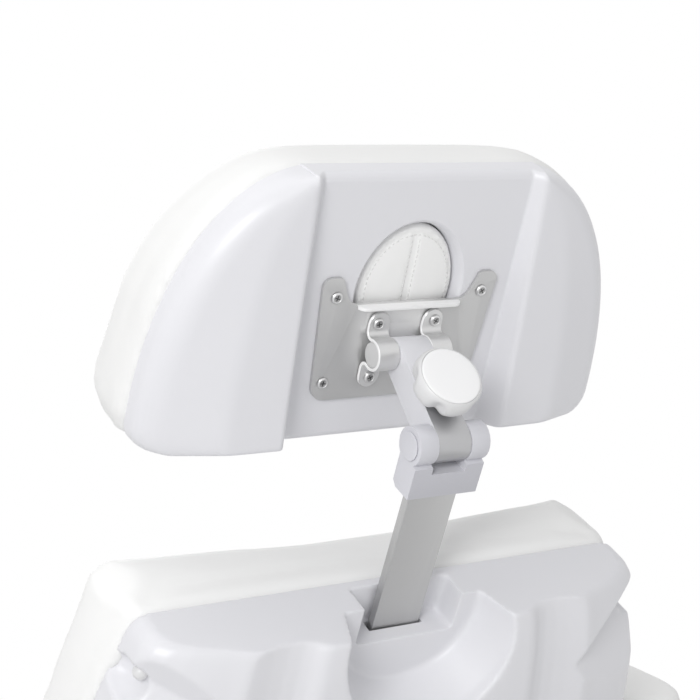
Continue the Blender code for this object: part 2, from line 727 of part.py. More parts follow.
peg_foot = recess_x - math.sqrt(RECESS_R ** 2 - PEG_UP ** 2)
peg_v = RECESS_V + PEG_UP
for side, name in ((1, "roll_peg_left"), (-1, "roll_peg_right")):
    ends = [side * (peg_foot - PEG_IN), side * (peg_foot + PEG_LONG)]
    cut(backrest_shell, rod(PEG_R + GAP, (ends[0], RECESS_W, peg_v), (ends[1], RECESS_W, peg_v), 16))
    spots = [(PEG_R, ends[0]), (PEG_R, ends[1] - side * 0.5 * PEG_R), (0.8 * PEG_R, ends[1] - side * 0.15 * PEG_R),
             (0.4 * PEG_R, ends[1])]
    turns = [2 * math.pi * i / 16 for i in range(16)]
    peg = loft([[(x, RECESS_W + r * math.cos(a), peg_v + r * math.sin(a)) for a in turns] for r, x in spots])
    piece(name, peg, white_plastic, back)

panel = box((-PANEL_HALF, BACK_SEAM + GAP, panel_bottom), (PANEL_HALF, panel_rear, PANEL_TOP))
piece("backrest_panel", panel, plywood, back)


def backRing(wide, high, low, w):
    """The cushion's outline, inset at its sides, top and foot; its front top edge dips between raised corners."""
    front = max(0.0, (BACK_SEAM - w) / (BACK_SEAM - BACK_FRONT))
    half_v = (BACK_TOP - BACK_BOTTOM) / 2
    middle = (BACK_TOP + BACK_BOTTOM) / 2
    rows = [v for v, _ in backRows(BACK_BOTTOM, BACK_TOP)] + [BACK_TOP - 0.3 * CUSHION_CORNER, BACK_TOP - CUSHION_CORNER]
    rows.sort(reverse=backRows(BACK_BOTTOM, BACK_TOP)[0][0] > 0)
    ring = []
    for side in (1, -1):
        run = [(side * backHalf(v, CUSHION_CORNER), v) for v in rows]
        ring += run if side > 0 else run[::-1]
        sign = -side
        flat = backHalf(rows[-1] if side > 0 else rows[0], CUSHION_CORNER)
        ring += [(sign * t * flat, rows[-1] if side > 0 else rows[0]) for t in (-0.6, -0.2, 0.2, 0.6)]
    points = []
    for x, v in ring:
        out = abs(x) / BACK_TOP_HALF
        raised = 0.006 + CORNER_RISE * min(out, 0.85) ** 2 - 0.03 * max(0.0, out - 0.85)
        lift_top = min(1.0, front) * max(0.0, v) / BACK_TOP * raised
        squeeze = 1 - (high if v > middle else low) / half_v
        inset = wide if wide > 0 else wide * min(1.0, max(0.0, 1 + v / CUSHION_FULL))
        points.append((x * (1 - inset / BACK_TOP_HALF), w, middle + (v - middle) * squeeze + lift_top))
    return points


cushion_rear = BACK_SEAM - GAP
cushion_deep = cushion_rear - BACK_FRONT
piece("backrest_cushion", loft([
    backRing(0.003, 0.003, 0.003, cushion_rear),
    backRing(0.000, 0.000, 0.000, cushion_rear - 0.10 * cushion_deep),
    backRing(-0.006, -0.002, -0.002, cushion_rear - 0.50 * cushion_deep),
    backRing(-0.006, 0.004, 0.006, cushion_rear - 0.80 * cushion_deep),
    backRing(-0.001, 0.012, 0.018, cushion_rear - 0.96 * cushion_deep),
    backRing(0.018, 0.030, 0.036, BACK_FRONT - 0.004),
    backRing(0.060, 0.060, 0.070, BACK_FRONT - 0.007),
    backRing(0.120, 0.120, 0.120, BACK_FRONT - 0.009),
]), white_vinyl, back)

# Height bar with its guide and stop
guide_front = panel_rear + GAP
guide_block = box((-guide_half, guide_front, GUIDE_BOTTOM), (guide_half, GUIDE_REAR, GUIDE_TOP))
bar_guide = piece("bar_guide", guide_block, black_plastic, back)
cut(bar_guide, box((-BAR_WIDE / 2 - RUN, -BAR_THICK - RUN, GUIDE_BOTTOM - 0.01),
                   (BAR_WIDE / 2 + RUN, RUN, GUIDE_TOP + 0.01)))
height_bar = piece("height_bar", box((-BAR_WIDE / 2, -BAR_THICK, BAR_BOTTOM), (BAR_WIDE / 2, 0, bar_top)),
                   satin_steel, bar_axis)
cut(height_bar, rod(STOP_R + GAP, (0, -0.05, stop_v), (0, 0.05, stop_v), 16))
piece("bar_stop", rod(STOP_R, (0, -BAR_THICK - STOP_REAR, stop_v), (0, STOP_REAR, stop_v), 16),
      dark_steel, bar_axis)

# Clevis on the bar, with the lower hinge pin
ear_middle = (-BAR_THICK / 2, neck_v)
clevis_side = [(CLEVIS_FRONT, CLEVIS_UNDER + 0.004), (CLEVIS_FRONT + 0.005, CLEVIS_UNDER),
               (CLEVIS_REAR, CLEVIS_UNDER), (CLEVIS_REAR, neck_v - CLEVIS_SHOULDER)]
clevis_side += arc(ear_middle, EAR_R, -50, 230, 18)
clevis = piece("clevis", across(clevis_side, -CLEVIS_HALF, CLEVIS_HALF), shell_white, bar_axis)
link_room = LINK_HALF + GAP
clevis_holes = box((-link_room, -0.1, neck_v - CLEVIS_FLOOR), (link_room, 0.1, neck_v + 0.1))
box((-BAR_WIDE / 2 - GAP, -BAR_THICK - GAP, CLEVIS_UNDER - PAST),
    (BAR_WIDE / 2 + GAP, GAP, bar_top + GAP), clevis_holes)
cut(clevis, clevis_holes)
cut(clevis, rod(LOWER_PIN_R + GAP, (-0.1, *ear_middle), (0.1, *ear_middle)))
lower_pin = loft(headedPin(LOWER_PIN_R, EAR_R - 0.004, CLEVIS_HALF + GAP, 0.001))
lower_pin_axis = axis("lower_pin_axis", (0, -BAR_THICK / 2, neck_v), parent=bar_axis)
piece("lower_hinge_pin", lower_pin, white_plastic, lower_pin_axis)

# Neck link and its clamp knob
link_side = arc((0, 0), EAR_R - 0.0005, 180, 360, 12) + [(LINK_HALF_DEEP, 0.012)]
link_side += [(LINK_HALF_DEEP, LINK_LONG - 0.008)] + arc((0, LINK_LONG), KNUCKLE_R, 0, 180, 12)
link_side += [(-LINK_HALF_DEEP, LINK_LONG - 0.008), (-LINK_HALF_DEEP, 0.012)]
neck_link = piece("neck_link", across(link_side, -LINK_HALF, LINK_HALF), satin_steel, neck)
weld(neck_link, rod(BOSS_R, (0, LINK_HALF_DEEP - 0.002, KNOB_UP), (0, knob_stand - GAP, KNOB_UP)))
stud_foot = knob_stand - STUD_IN
stud_top = knob_stand + STUD_UP
link_holes = rod(LOWER_PIN_R + RUN, (-0.1, 0, 0), (0.1, 0, 0))
rod(UPPER_PIN_R + RUN, (-0.1, 0, LINK_LONG), (0.1, 0, LINK_LONG), into=link_holes)
rod(STUD_R + RUN, (0, stud_foot - GAP, KNOB_UP), (0, 0.1, KNOB_UP), 16, link_holes)
cut(neck_link, link_holes)


def knobRing(shrink, y):
    ring = []
    for i in range(5 * KNOB_LOBES):
        a = 2 * math.pi * i / (5 * KNOB_LOBES)
        r = KNOB_R - shrink + KNOB_LOBE * math.cos(KNOB_LOBES * a)
        ring.append((r * math.cos(a), y, r * math.sin(a)))
    return ring


knob_top = knob_stand + KNOB_TALL
knob_body = piece("knob_body", loft([
    knobRing(0.004, knob_stand), knobRing(0, knob_stand + 0.004), knobRing(0, knob_top - 0.005),
    knobRing(0.0025, knob_top),
]), white_plastic, knob_axis)
cap_foot = knob_top - CAP_THICK + 0.0012
cut(knob_body, rod(cap_r + GAP, (0, cap_foot - GAP, 0), (0, knob_top + 0.01, 0), 32))
cut(knob_body, rod(STUD_R + GAP, (0, knob_stand - 0.01, 0), (0, stud_top + GAP, 0), 16))
piece("knob_cap", rod(cap_r, (0, cap_foot, 0), (0, cap_foot + CAP_THICK, 0), 32), white_plastic, knob_axis)
piece("knob_stud", rod(STUD_R, (0, stud_foot, 0), (0, stud_top, 0), 16), satin_steel, knob_axis)

# Headrest shell: flat panel, two wings whose step grows downwards, sloping rims
HEAD_TURNS = 10
head_tall = HEAD_TOP - HEAD_BOTTOM


def headHalf(v):
    share = (v - HEAD_BOTTOM) / head_tall
    half = HEAD_FLAT + (HEAD_HALF - HEAD_FLAT) * math.sqrt(max(0.0, 1 - share ** 2.3))
    short = max(0.0, HEAD_CORNER - (v - HEAD_BOTTOM))
    return half - HEAD_CORNER + math.sqrt(max(0.0, HEAD_CORNER ** 2 - short ** 2))


head_rows = [HEAD_BOTTOM, HEAD_BOTTOM + 0.25 * HEAD_CORNER, HEAD_BOTTOM + HEAD_CORNER]
for step in range(3, HEAD_TURNS + 1):
    head_rows.append(HEAD_BOTTOM + head_tall * math.sin(math.pi / 2 * step / HEAD_TURNS) ** (2 / 2.3))


def headSection(v, at, inset, front):
    half = headHalf(v) - inset
    rise = WING_RISE * (HEAD_TOP - v) / (head_tall - 0.009)
    rise *= min(1.0, (v - HEAD_BOTTOM) / 0.010 + 0.35)
    rim = min(rise, WING_RIM)
    outer = half - 0.004
    edge = min(wing_edge + inset, half - 0.010)
    foot = edge - (wing_edge - WING_FOOT)
    facet = (edge + outer) / 2
    right = [(0.0, 0.0), (foot, 0.0), (edge, rise), (facet, 0.93 * rise), (outer, rim),
             (half, rim - 0.006)]
    right = [(x, w - inset) for x, w in right] + [(half, front)]
    left = [(-x, w) for x, w in reversed(right[1:])]
    climb = math.tan(HEAD_LEAN) * max(0.0, 1 - (v - HEAD_BOTTOM) / UNDER_FADE)
    return [(x, w, at + climb * max(0.0, w)) for x, w in left + right]


def headBody(inset, front):
    squeeze = (head_tall - 2 * inset) / head_tall
    return loft([headSection(v, HEAD_BOTTOM + inset + (v - HEAD_BOTTOM) * squeeze, inset, front)
                 for v in head_rows])


def screwHoles(grow):
    shape = bmesh.new()
    for x, v in (EAR_SCREW, LOW_SCREW, STRAP_TOP_SCREW, STRAP_LOW_SCREW):
        for side in (-1, 1):
            rod(SCREW_R + grow, (side * x, -0.0155, v), (side * x, 0.05, v), 8, shape)
    return shape


def hole(grow):
    ring = oval(HOLE_HALF_X + grow, HOLE_HALF_V + grow, 2, 36)
    return loft([[(x, w, HOLE_V + v) for x, v in ring] for w in (-REACH, REACH)])


headrest_shell = piece("headrest_shell", headBody(0, HEAD_SEAM), shell_white, head)
cut(headrest_shell, headBody(SHELL_WALL, HEAD_SEAM - 0.01))
cut(headrest_shell, hole(0))
cut(headrest_shell, screwHoles(GAP))

board_low = HEAD_BOTTOM + BOARD_FOOT
board_high = HEAD_TOP - BOARD_HEAD
board_middle = (board_high + board_low) / 2
board_ring = oval(WING_FOOT - BOARD_SIDE, (board_high - board_low) / 2, 6, 28)
headrest_board = piece("headrest_board", loft([
    [(x, w, board_middle + v) for x, v in board_ring] for w in (HEAD_SEAM + GAP, -SHELL_WALL - GAP)
]), plywood, head)
cut(headrest_board, hole(0))
cut(headrest_board, screwHoles(GAP))


def headRing(wide, high, w):
    half_v = head_tall / 2
    middle = (HEAD_TOP + HEAD_BOTTOM) / 2
    right = [(headHalf(v), v) for v in head_rows]
    ring = right + [(0.4 * HEAD_FLAT, HEAD_TOP), (-0.4 * HEAD_FLAT, HEAD_TOP)]
    ring += [(-x, v) for x, v in reversed(right)]
    low = headHalf(HEAD_BOTTOM)
    ring += [(x * low, HEAD_BOTTOM) for x in (-0.6, -0.2, 0.2, 0.6)]
    return [(x * (1 - wide / HEAD_HALF), w, middle + (v - middle) * (1 - high / half_v)) for x, v in ring]


def holeRing(grow, w):
    """As many points as the outline, evenly spaced from the middle of the bottom."""
    count = len(headRing(0, 0, w))
    ring = []
    for i in range(count):
        a = 2 * math.pi * (i + 2.5) / count - math.pi / 2
        ring.append(((HOLE_HALF_X + grow) * math.cos(a), w, HOLE_V + (HOLE_HALF_V + grow) * math.sin(a)))
    return ring


def between(first, second, share, w):
    return [(a[0] + (b[0] - a[0]) * share, w, a[2] + (b[2] - a[2]) * share) for a, b in zip(first, second)]


head_rear = HEAD_SEAM - GAP
head_deep = head_rear - HEAD_FRONT
outline = headRing(0.010, 0.024, 0)
mouth = holeRing(0.012, 0)
piece("headrest_cushion", loft([
    headRing(0.003, 0.003, head_rear),
    headRing(-0.004, -0.001, head_rear - 0.16 * head_deep),
    headRing(-0.009, 0.000, head_rear - 0.42 * head_deep),
    headRing(-0.008, 0.005, head_rear - 0.63 * head_deep),
    headRing(-0.001, 0.013, head_rear - 0.85 * head_deep),
    headRing(0.010, 0.024, head_rear - 0.97 * head_deep),
    between(outline, mouth, 0.30, HEAD_FRONT - 0.5 * HEAD_CROWN),
    between(outline, mouth, 0.65, HEAD_FRONT - HEAD_CROWN),
    holeRing(0.010, HEAD_FRONT - 0.3 * HEAD_CROWN),
    holeRing(0.000, HEAD_FRONT + 0.008),
    holeRing(0.000, head_rear),
], loop=True), white_vinyl, head)

plug_ring = oval(HOLE_HALF_X - PLUG_PLAY, HOLE_HALF_V - PLUG_PLAY, 2, 32)


def plugRing(share, w):
    return [(x * share, w, HOLE_V + v * share) for x, v in plug_ring]


piece("face_plug", loft([
    plugRing(0.60, PLUG_REAR), plugRing(0.93, PLUG_REAR - 0.0015), plugRing(1.0, PLUG_REAR - 0.006),
    plugRing(1.0, HEAD_FRONT + 0.010), plugRing(0.88, HEAD_FRONT),
    plugRing(0.50, HEAD_FRONT - 0.5 * HEAD_CROWN),
]), white_vinyl, plug_axis)

# Mounting plate with two ears, a bent lip at its cut-out, and two hinge straps
right = [(0.0, PLATE_BOTTOM)]
right += arc((PLATE_LOW_HALF - PLATE_CORNER, PLATE_BOTTOM + PLATE_CORNER), PLATE_CORNER, -90, 0, 6)
right += arc((PLATE_TOP_HALF - 0.008, PLATE_TOP - 0.008), 0.008, 0, 90, 5)
right += arc((EAR_INNER + 0.005, PLATE_TOP - 0.005), 0.005, 90, 180, 4)
right += arc((CUT_HALF, CUT_V + PLATE_CORNER), PLATE_CORNER, -20, -90, 5)
plate_side = right + [(0.0, CUT_V)] + [(-x, v) for x, v in reversed(right[1:])]
plate_sheet = loft([[(x, w, v) for x, v in plate_side] for w in (GAP, plate_rear)])
mounting_plate = piece("mounting_plate", plate_sheet, satin_steel, head)
lip_under = CUT_V - GAP - LIP_THICK
weld(mounting_plate, box((-CUT_HALF - 0.002, GAP + 0.0005, lip_under),
                         (CUT_HALF + 0.002, plate_rear + LIP_DEEP, lip_under + LIP_THICK)))
cut(mounting_plate, screwHoles(GAP))

strap_front = plate_rear + GAP
strap_rear = strap_front + STRAP_THICK
strap_top = STRAP_TOP_SCREW[1] + STRAP_HEAD
hinge = (hinge_w, HINGE_V)
knuckle_top = HINGE_V + KNUCKLE_R
knuckle_low = HINGE_V - KNUCKLE_R
strap_side = [(strap_front, STRAP_BOTTOM), (strap_rear, STRAP_BOTTOM), (strap_rear, knuckle_low - 0.002),
              (strap_rear + 0.0025, knuckle_low + 0.0005)]
strap_side += arc(hinge, KNUCKLE_R, -110, 110, 12)
strap_side += [(strap_rear + 0.0025, knuckle_top - 0.0005), (strap_rear, knuckle_top + 0.002),
               (strap_rear, strap_top), (strap_front, strap_top)]
strap_inner = LINK_HALF + GAP
for side, name in ((1, "hinge_strap_left"), (-1, "hinge_strap_right")):
    span = sorted((side * strap_inner, side * STRAP_OUTER))
    strap = piece(name, across(strap_side, *span), satin_steel, head)
    cut(strap, rod(UPPER_PIN_R + GAP, (-0.1, *hinge), (0.1, *hinge)))
    cut(strap, screwHoles(GAP))
piece("upper_hinge_pin", loft(headedPin(UPPER_PIN_R, PIN_HEAD_R, STRAP_OUTER + GAP, PIN_HEAD)), satin_steel,
      axis("upper_pin_axis", (0, hinge_w, HINGE_V), parent=head))


def screw(name, x, v, seat):
    spots = [(SCREW_R, seat - SCREW_LONG), (SCREW_R, seat), (SCREW_HEAD_R, seat),
             (SCREW_HEAD_R, seat + 0.6 * SCREW_HEAD), (0.75 * SCREW_HEAD_R, seat + SCREW_HEAD)]
    turns = [2 * math.pi * i / 8 for i in range(8)]
    rings = [[(x + r * math.cos(a), w, v + r * math.sin(a)) for a in turns] for r, w in spots]
    piece(name, loft(rings), dark_steel, head)


for side, hand in ((1, "left"), (-1, "right")):
    screw("plate_ear_screw_" + hand, side * EAR_SCREW[0], EAR_SCREW[1], plate_rear + GAP)
    screw("plate_low_screw_" + hand, side * LOW_SCREW[0], LOW_SCREW[1], plate_rear + GAP)
    screw("strap_top_screw_" + hand, side * STRAP_TOP_SCREW[0], STRAP_TOP_SCREW[1], strap_rear + GAP)
    screw("strap_low_screw_" + hand, side * STRAP_LOW_SCREW[0], STRAP_LOW_SCREW[1], strap_rear + GAP)

# Armrests, each on a post from the seat frame and hinged on the post's pin
arm_half_x = (arm_outer_x - arm_inner_x) / 2
arm_half_y = (arm_rear - arm_front) / 2
post_side = [(arm_pivot_y - POST_HALF_Y, rail_under), (arm_pivot_y + POST_HALF_Y, rail_under)]
post_side += arc((arm_pivot_y, arm_pivot_z), POST_HALF_Y, 0, 180, 12)
for side, hand in ((1, "left"), (-1, "right")):
    post = piece("armrest_post_" + hand, across(post_side, *sorted((side * post_inner, side * post_outer))),
                 painted_steel, swivel)
    foot = sorted((side * (rail_outer + GAP), side * (post_inner + 0.004)))
    weld(post, box((foot[0], arm_pivot_y - 0.018, rail_under + 0.006),
                   (foot[1], arm_pivot_y + 0.018, rail_under + 0.006 + POST_FOOT_TALL)))
    weld(post, rod(ARM_PIN_R, (side * (post_outer - 0.004), arm_pivot_y, arm_pivot_z),
                   (side * (post_outer + ARM_PIN_LONG), arm_pivot_y, arm_pivot_z)))
    arm_place = (side * (arm_inner_x + arm_half_x), arm_pivot_y, arm_pivot_z)
    arm = axis("arm_axis_" + hand, arm_place, parent=swivel)
    middle = (0, (arm_front + arm_rear) / 2 - arm_pivot_y)

    def armRing(inset, z):
        return level(oval(arm_half_x - inset, arm_half_y - inset, 5, 28, middle), z - arm_pivot_z)

    tray = piece("armrest_shell_" + hand, loft([
        armRing(0.014, arm_under), armRing(0.004, arm_under + 0.006), armRing(0, arm_under + 0.018),
        armRing(0, arm_seam),
    ]), shell_white, arm)
    inside = -side * arm_half_x
    pin_room = sorted((inside - side * PAST, inside + side * (ARM_PIN_LONG - ARM_PLAY + GAP)))
    cut(tray, rod(ARM_PIN_R + GAP, (pin_room[0], 0, 0), (pin_room[1], 0, 0)))
    pad = loft(padRings(armRing, arm_seam + GAP, arm_top_z, 0.002, 0.004, 0.6 * arm_half_x))
    piece("armrest_pad_" + hand, pad, white_vinyl, arm)

# Leg rests: an arm on the hinge shaft, with a tray and pad that slide out along it
leg_middle_y = -LEG_START - LEG_LONG / 2
for side, hand in ((1, "left"), (-1, "right")):
    leg = axis("leg_axis_" + hand, (side * leg_arm_x, leg_y, leg_z), LEG_DOWN, swivel)
    leg_slide = axis("leg_slide_" + hand, (0, 0, 0), parent=leg)
    arm_top = LEG_UNDER - GAP
    leg_middle = (side * (leg_pad_x - leg_arm_x), leg_middle_y)
    leg_arm = piece("leg_arm_" + hand, rod(LEG_BARREL_R, (-LEG_ARM_HALF, 0, 0), (LEG_ARM_HALF, 0, 0)),
                    painted_steel, leg)
    weld(leg_arm, box((-LEG_ARM_HALF, -LEG_ARM_LONG, arm_top - LEG_ARM_THICK),
                      (LEG_ARM_HALF, -0.002, arm_top)))
    cut(leg_arm, rod(LEG_SHAFT_R + RUN, (-0.1, 0, 0), (0.1, 0, 0)))

    def legRing(inset, z):
        return level(oval(LEG_HALF_X - inset, LEG_LONG / 2 - inset, 6, 32, leg_middle), z)

    tray_top = leg_seam - GAP
    leg_shell = piece("leg_shell_" + hand, loft([
        legRing(LEG_WALL, LEG_UNDER + LEG_WALL), legRing(LEG_WALL, tray_top), legRing(0, tray_top),
        legRing(0, LEG_UNDER + 0.010), legRing(0.008, LEG_UNDER),
    ]), shell_white, leg_slide)
    strip = LEG_ARM_HALF + RUN
    for edge in (-1, 1):
        span = sorted((edge * strip, edge * (strip + GUIDE_STRIP)))
        weld(leg_shell, box((span[0], leg_middle_y - 0.10, arm_top - LEG_ARM_THICK),
                            (span[1], leg_middle_y + 0.16, LEG_UNDER + 0.002)))
    pad = loft(padRings(legRing, leg_seam, leg_top, 0.003, 0.006, LEG_PAD))
    piece("leg_pad_" + hand, pad, white_vinyl, leg_slide)
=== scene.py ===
# Pedicure chair from behind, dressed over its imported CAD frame
import json
import math

import bmesh
import bpy
import numpy as np
from mathutils import Matrix, Vector
from mathutils.bvhtree import BVHTree

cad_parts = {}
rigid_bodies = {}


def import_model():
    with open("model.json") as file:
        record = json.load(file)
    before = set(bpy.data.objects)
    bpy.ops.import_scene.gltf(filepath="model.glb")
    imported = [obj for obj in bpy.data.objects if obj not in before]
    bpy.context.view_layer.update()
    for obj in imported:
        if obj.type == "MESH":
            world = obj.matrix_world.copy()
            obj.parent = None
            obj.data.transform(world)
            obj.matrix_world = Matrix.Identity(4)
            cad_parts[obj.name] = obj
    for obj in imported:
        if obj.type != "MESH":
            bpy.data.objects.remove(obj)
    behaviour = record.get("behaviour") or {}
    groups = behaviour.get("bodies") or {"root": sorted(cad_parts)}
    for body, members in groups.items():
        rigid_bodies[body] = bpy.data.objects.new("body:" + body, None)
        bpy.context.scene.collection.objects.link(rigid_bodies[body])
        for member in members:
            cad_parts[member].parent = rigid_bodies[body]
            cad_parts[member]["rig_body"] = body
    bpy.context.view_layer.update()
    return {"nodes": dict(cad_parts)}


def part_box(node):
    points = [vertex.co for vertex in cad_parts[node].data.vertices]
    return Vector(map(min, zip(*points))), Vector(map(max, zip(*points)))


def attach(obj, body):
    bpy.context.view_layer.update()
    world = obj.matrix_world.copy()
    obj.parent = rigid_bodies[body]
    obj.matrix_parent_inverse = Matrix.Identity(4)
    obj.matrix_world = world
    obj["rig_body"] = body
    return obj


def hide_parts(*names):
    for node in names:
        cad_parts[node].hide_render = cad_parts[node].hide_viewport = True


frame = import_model()
nodes = frame["nodes"]
scene = bpy.context.scene
scene.view_settings.view_transform = "Standard"
print("frame loaded,", len(nodes), "CAD nodes")

mm = 0.001


# camera, fitted to the photograph's edges

view = dict(place=(0.7204, 1.6128, 1.41965), turn=31.19, tilt=7.01, lens=86.27, film=36)


def aimCamera():
    made = bpy.data.cameras.new("photoCamera")
    made.sensor_fit = "HORIZONTAL"
    made.sensor_width = view["film"]
    made.lens = view["lens"]
    made.clip_end = 60
    turn, tilt = math.radians(view["turn"]), math.radians(view["tilt"])
    back = Vector((math.sin(turn) * math.cos(tilt), math.cos(turn) * math.cos(tilt), math.sin(tilt)))
    right = Vector((0, 0, 1)).cross(back).normalized()
    up = back.cross(right)
    held = bpy.data.objects.new("photoCamera", made)
    held.matrix_world = Matrix.Translation(view["place"]) @ Matrix((right, up, back)).transposed().to_4x4()
    scene.collection.objects.link(held)
    scene.camera = held


aimCamera()


# shader sums: a wire is one output of a node, and sums on wires add Math nodes

class Wire:
    def __init__(self, tree, socket):
        self.tree = tree
        self.socket = socket

    def node(self, kind, settings=None, inputs=None, output=0):
        made = self.tree.nodes.new("ShaderNode" + kind)
        for name, value in (settings or {}).items():
            setattr(made, name, value)
        for name, value in (inputs or {}).items():
            if isinstance(value, Wire):
                self.tree.links.new(value.socket, made.inputs[name])
            else:
                made.inputs[name].default_value = value
        return Wire(self.tree, made.outputs[output])

    def sum(self, operation, first, second):
        return self.node("Math", {"operation": operation}, {0: first, 1: second})

    def __add__(self, other):
        return self.sum("ADD", self, other)

    def __radd__(self, other):
        return self.sum("ADD", other, self)

    def __sub__(self, other):
        return self.sum("SUBTRACT", self, other)

    def __rsub__(self, other):
        return self.sum("SUBTRACT", other, self)

    def __mul__(self, other):
        return self.sum("MULTIPLY", self, other)

    def __rmul__(self, other):
        return self.sum("MULTIPLY", other, self)


def newFinish(name, rough, metal=0.0, specular=0.5):
    made = bpy.data.materials.new(name)
    made.use_nodes = True
    tree = made.node_tree
    shader = tree.nodes["Principled BSDF"]
    shader.inputs["Roughness"].default_value = rough
    shader.inputs["Metallic"].default_value = metal
    shader.inputs["Specular IOR Level"].default_value = specular
    place = Wire(tree, tree.nodes.new("ShaderNodeTexCoord").outputs["Object"])
    return made, shader, place


def join(shader, name, wire):
    wire.tree.links.new(wire.socket, shader.inputs[name])


def noise(place, scale, detail=2.0, stretch=None):
    where = place
    if stretch:
        where = place.node("VectorMath", {"operation": "MULTIPLY"}, {0: place, 1: stretch})
    return place.node("TexNoise", None, {"Vector": where, "Scale": scale, "Detail": detail})


def tint(place, share, low, high):
    return place.node("Mix", {"data_type": "RGBA"}, {0: share, 6: (*low, 1), 7: (*high, 1)}, 2)


def bump(place, height, strength, distance):
    return place.node("Bump", None, {"Strength": strength, "Distance": distance, "Height": height})


vinylLook = dict(low=(0.83, 0.83, 0.825), high=(0.87, 0.87, 0.865), grain=900, rough=0.42)


def vinyl(name, low=vinylLook["low"], high=vinylLook["high"], grain=vinylLook["grain"]):
    made, shader, place = newFinish(name, vinylLook["rough"], specular=0.4)
    cells = place.node("TexVoronoi", {"feature": "F1"}, {"Vector": place, "Scale": grain})
    pores = noise(place, grain * 2.2)
    cloud = noise(place, 9, 3)
    join(shader, "Base Color", tint(place, cloud, low, high))
    join(shader, "Roughness", 0.36 + 0.12 * cloud + 0.05 * pores)
    join(shader, "Normal", bump(place, cells * 0.7 + pores * 0.3, 0.10, 0.0004))
    return made


def moulded(name, low, high, rough, texture=1400, strength=0.04):
    made, shader, place = newFinish(name, rough)
    cloud = noise(place, 6, 3)
    grain = noise(place, texture, 1)
    join(shader, "Base Color", tint(place, cloud, low, high))
    join(shader, "Roughness", rough - 0.05 + 0.10 * cloud)
    join(shader, "Normal", bump(place, grain, strength, 0.0003))
    return made


def fade(wire, full, none):
    return wire.node("MapRange", {"interpolation_type": "SMOOTHSTEP"}, {0: wire, 1: full, 2: none, 3: 1.0, 4: 0.0})


def satin(name, low, high, rough, brush=(1, 1, 1), lines=900, strength=0.05, metal=1.0, paintedSheen=None):
    made, shader, place = newFinish(name, rough, metal)
    streak = noise(place, lines, 2, brush)
    cloud = noise(place, 14, 3)
    colour = tint(place, 0.6 * cloud + 0.4 * streak, low, high)
    if paintedSheen:  # a band painted brighter: painted sheen of reflected light
        across = place.node("SeparateXYZ", None, {0: place}, 0) - paintedSheen["x"]
        across = across.node("Math", {"operation": "ABSOLUTE"}, {0: across})
        upward = place.node("SeparateXYZ", None, {0: place}, 2)
        share = fade(across, *paintedSheen["reach"]) * fade(upward, *paintedSheen["rise"])
        colour = place.node("Mix", {"data_type": "RGBA"}, {0: share, 6: colour, 7: (*paintedSheen["colour"], 1)}, 2)
    join(shader, "Base Color", colour)
    join(shader, "Roughness", rough - 0.08 + 0.16 * streak)
    join(shader, "Normal", bump(place, streak, strength, 0.0002))
    return made


def board(name):
    made, shader, place = newFinish(name, 0.7)
    grain = noise(place, 60, 4, (1, 8, 8))
    join(shader, "Base Color", tint(place, grain, (0.50, 0.35, 0.20), (0.66, 0.50, 0.32)))
    join(shader, "Normal", bump(place, grain, 0.2, 0.0005))
    return made


whiteVinyl = vinyl("whiteVinyl")
paleVinyl = vinyl("paleVinyl", (0.89, 0.89, 0.885), (0.92, 0.92, 0.915), 1100)
threadWhite = moulded("threadWhite", (0.74, 0.74, 0.73), (0.80, 0.80, 0.79), 0.7, 4000, 0.3)
shellGrey = moulded("shellGrey", (0.75, 0.75, 0.78), (0.78, 0.78, 0.81), 0.36)
knobWhite = moulded("knobWhite", (0.71, 0.71, 0.715), (0.74, 0.74, 0.745), 0.34, 1800, 0.02)
capWhite = moulded("capWhite", (0.91, 0.91, 0.915), (0.93, 0.93, 0.935), 0.30, 1800, 0.02)
coverWhite = moulded("coverWhite", (0.82, 0.82, 0.825), (0.85, 0.85, 0.855), 0.32)
clevisPale = moulded("clevisPale", (0.63, 0.63, 0.67), (0.67, 0.67, 0.71), 0.40, 1500, 0.05)
# painted shade for the clevis's rear faces
clevisPaintedShade = moulded("clevisPaintedShade", (0.53, 0.53, 0.57), (0.57, 0.57, 0.61), 0.40, 1500, 0.05)
linkPaleAndHighlight = moulded("linkPaleAndHighlight", (0.72, 0.72, 0.75), (0.76, 0.76, 0.79), 0.40, 1500, 0.05)
# painted sheen: the plate is made lighter in a band between the straps, standing in for reflected light
plateSheenBand = dict(x=0.012, reach=(0.024, 0.044), rise=(1.268, 1.236), colour=(0.74, 0.74, 0.74))
plateSatin = satin("plateSatin", (0.52, 0.52, 0.52), (0.58, 0.58, 0.58), 0.42, metal=0.6, paintedSheen=plateSheenBand)
strapSatin = satin("strapSatin", (0.66, 0.66, 0.66), (0.72, 0.72, 0.72), 0.38, metal=0.6)
pinEnd = satin("pinEnd", (0.70, 0.70, 0.70), (0.76, 0.76, 0.76), 0.45, metal=0.3)
barSatin = satin("barSatin", (0.50, 0.50, 0.50), (0.56, 0.56, 0.56), 0.42, (40, 1, 1), 120)
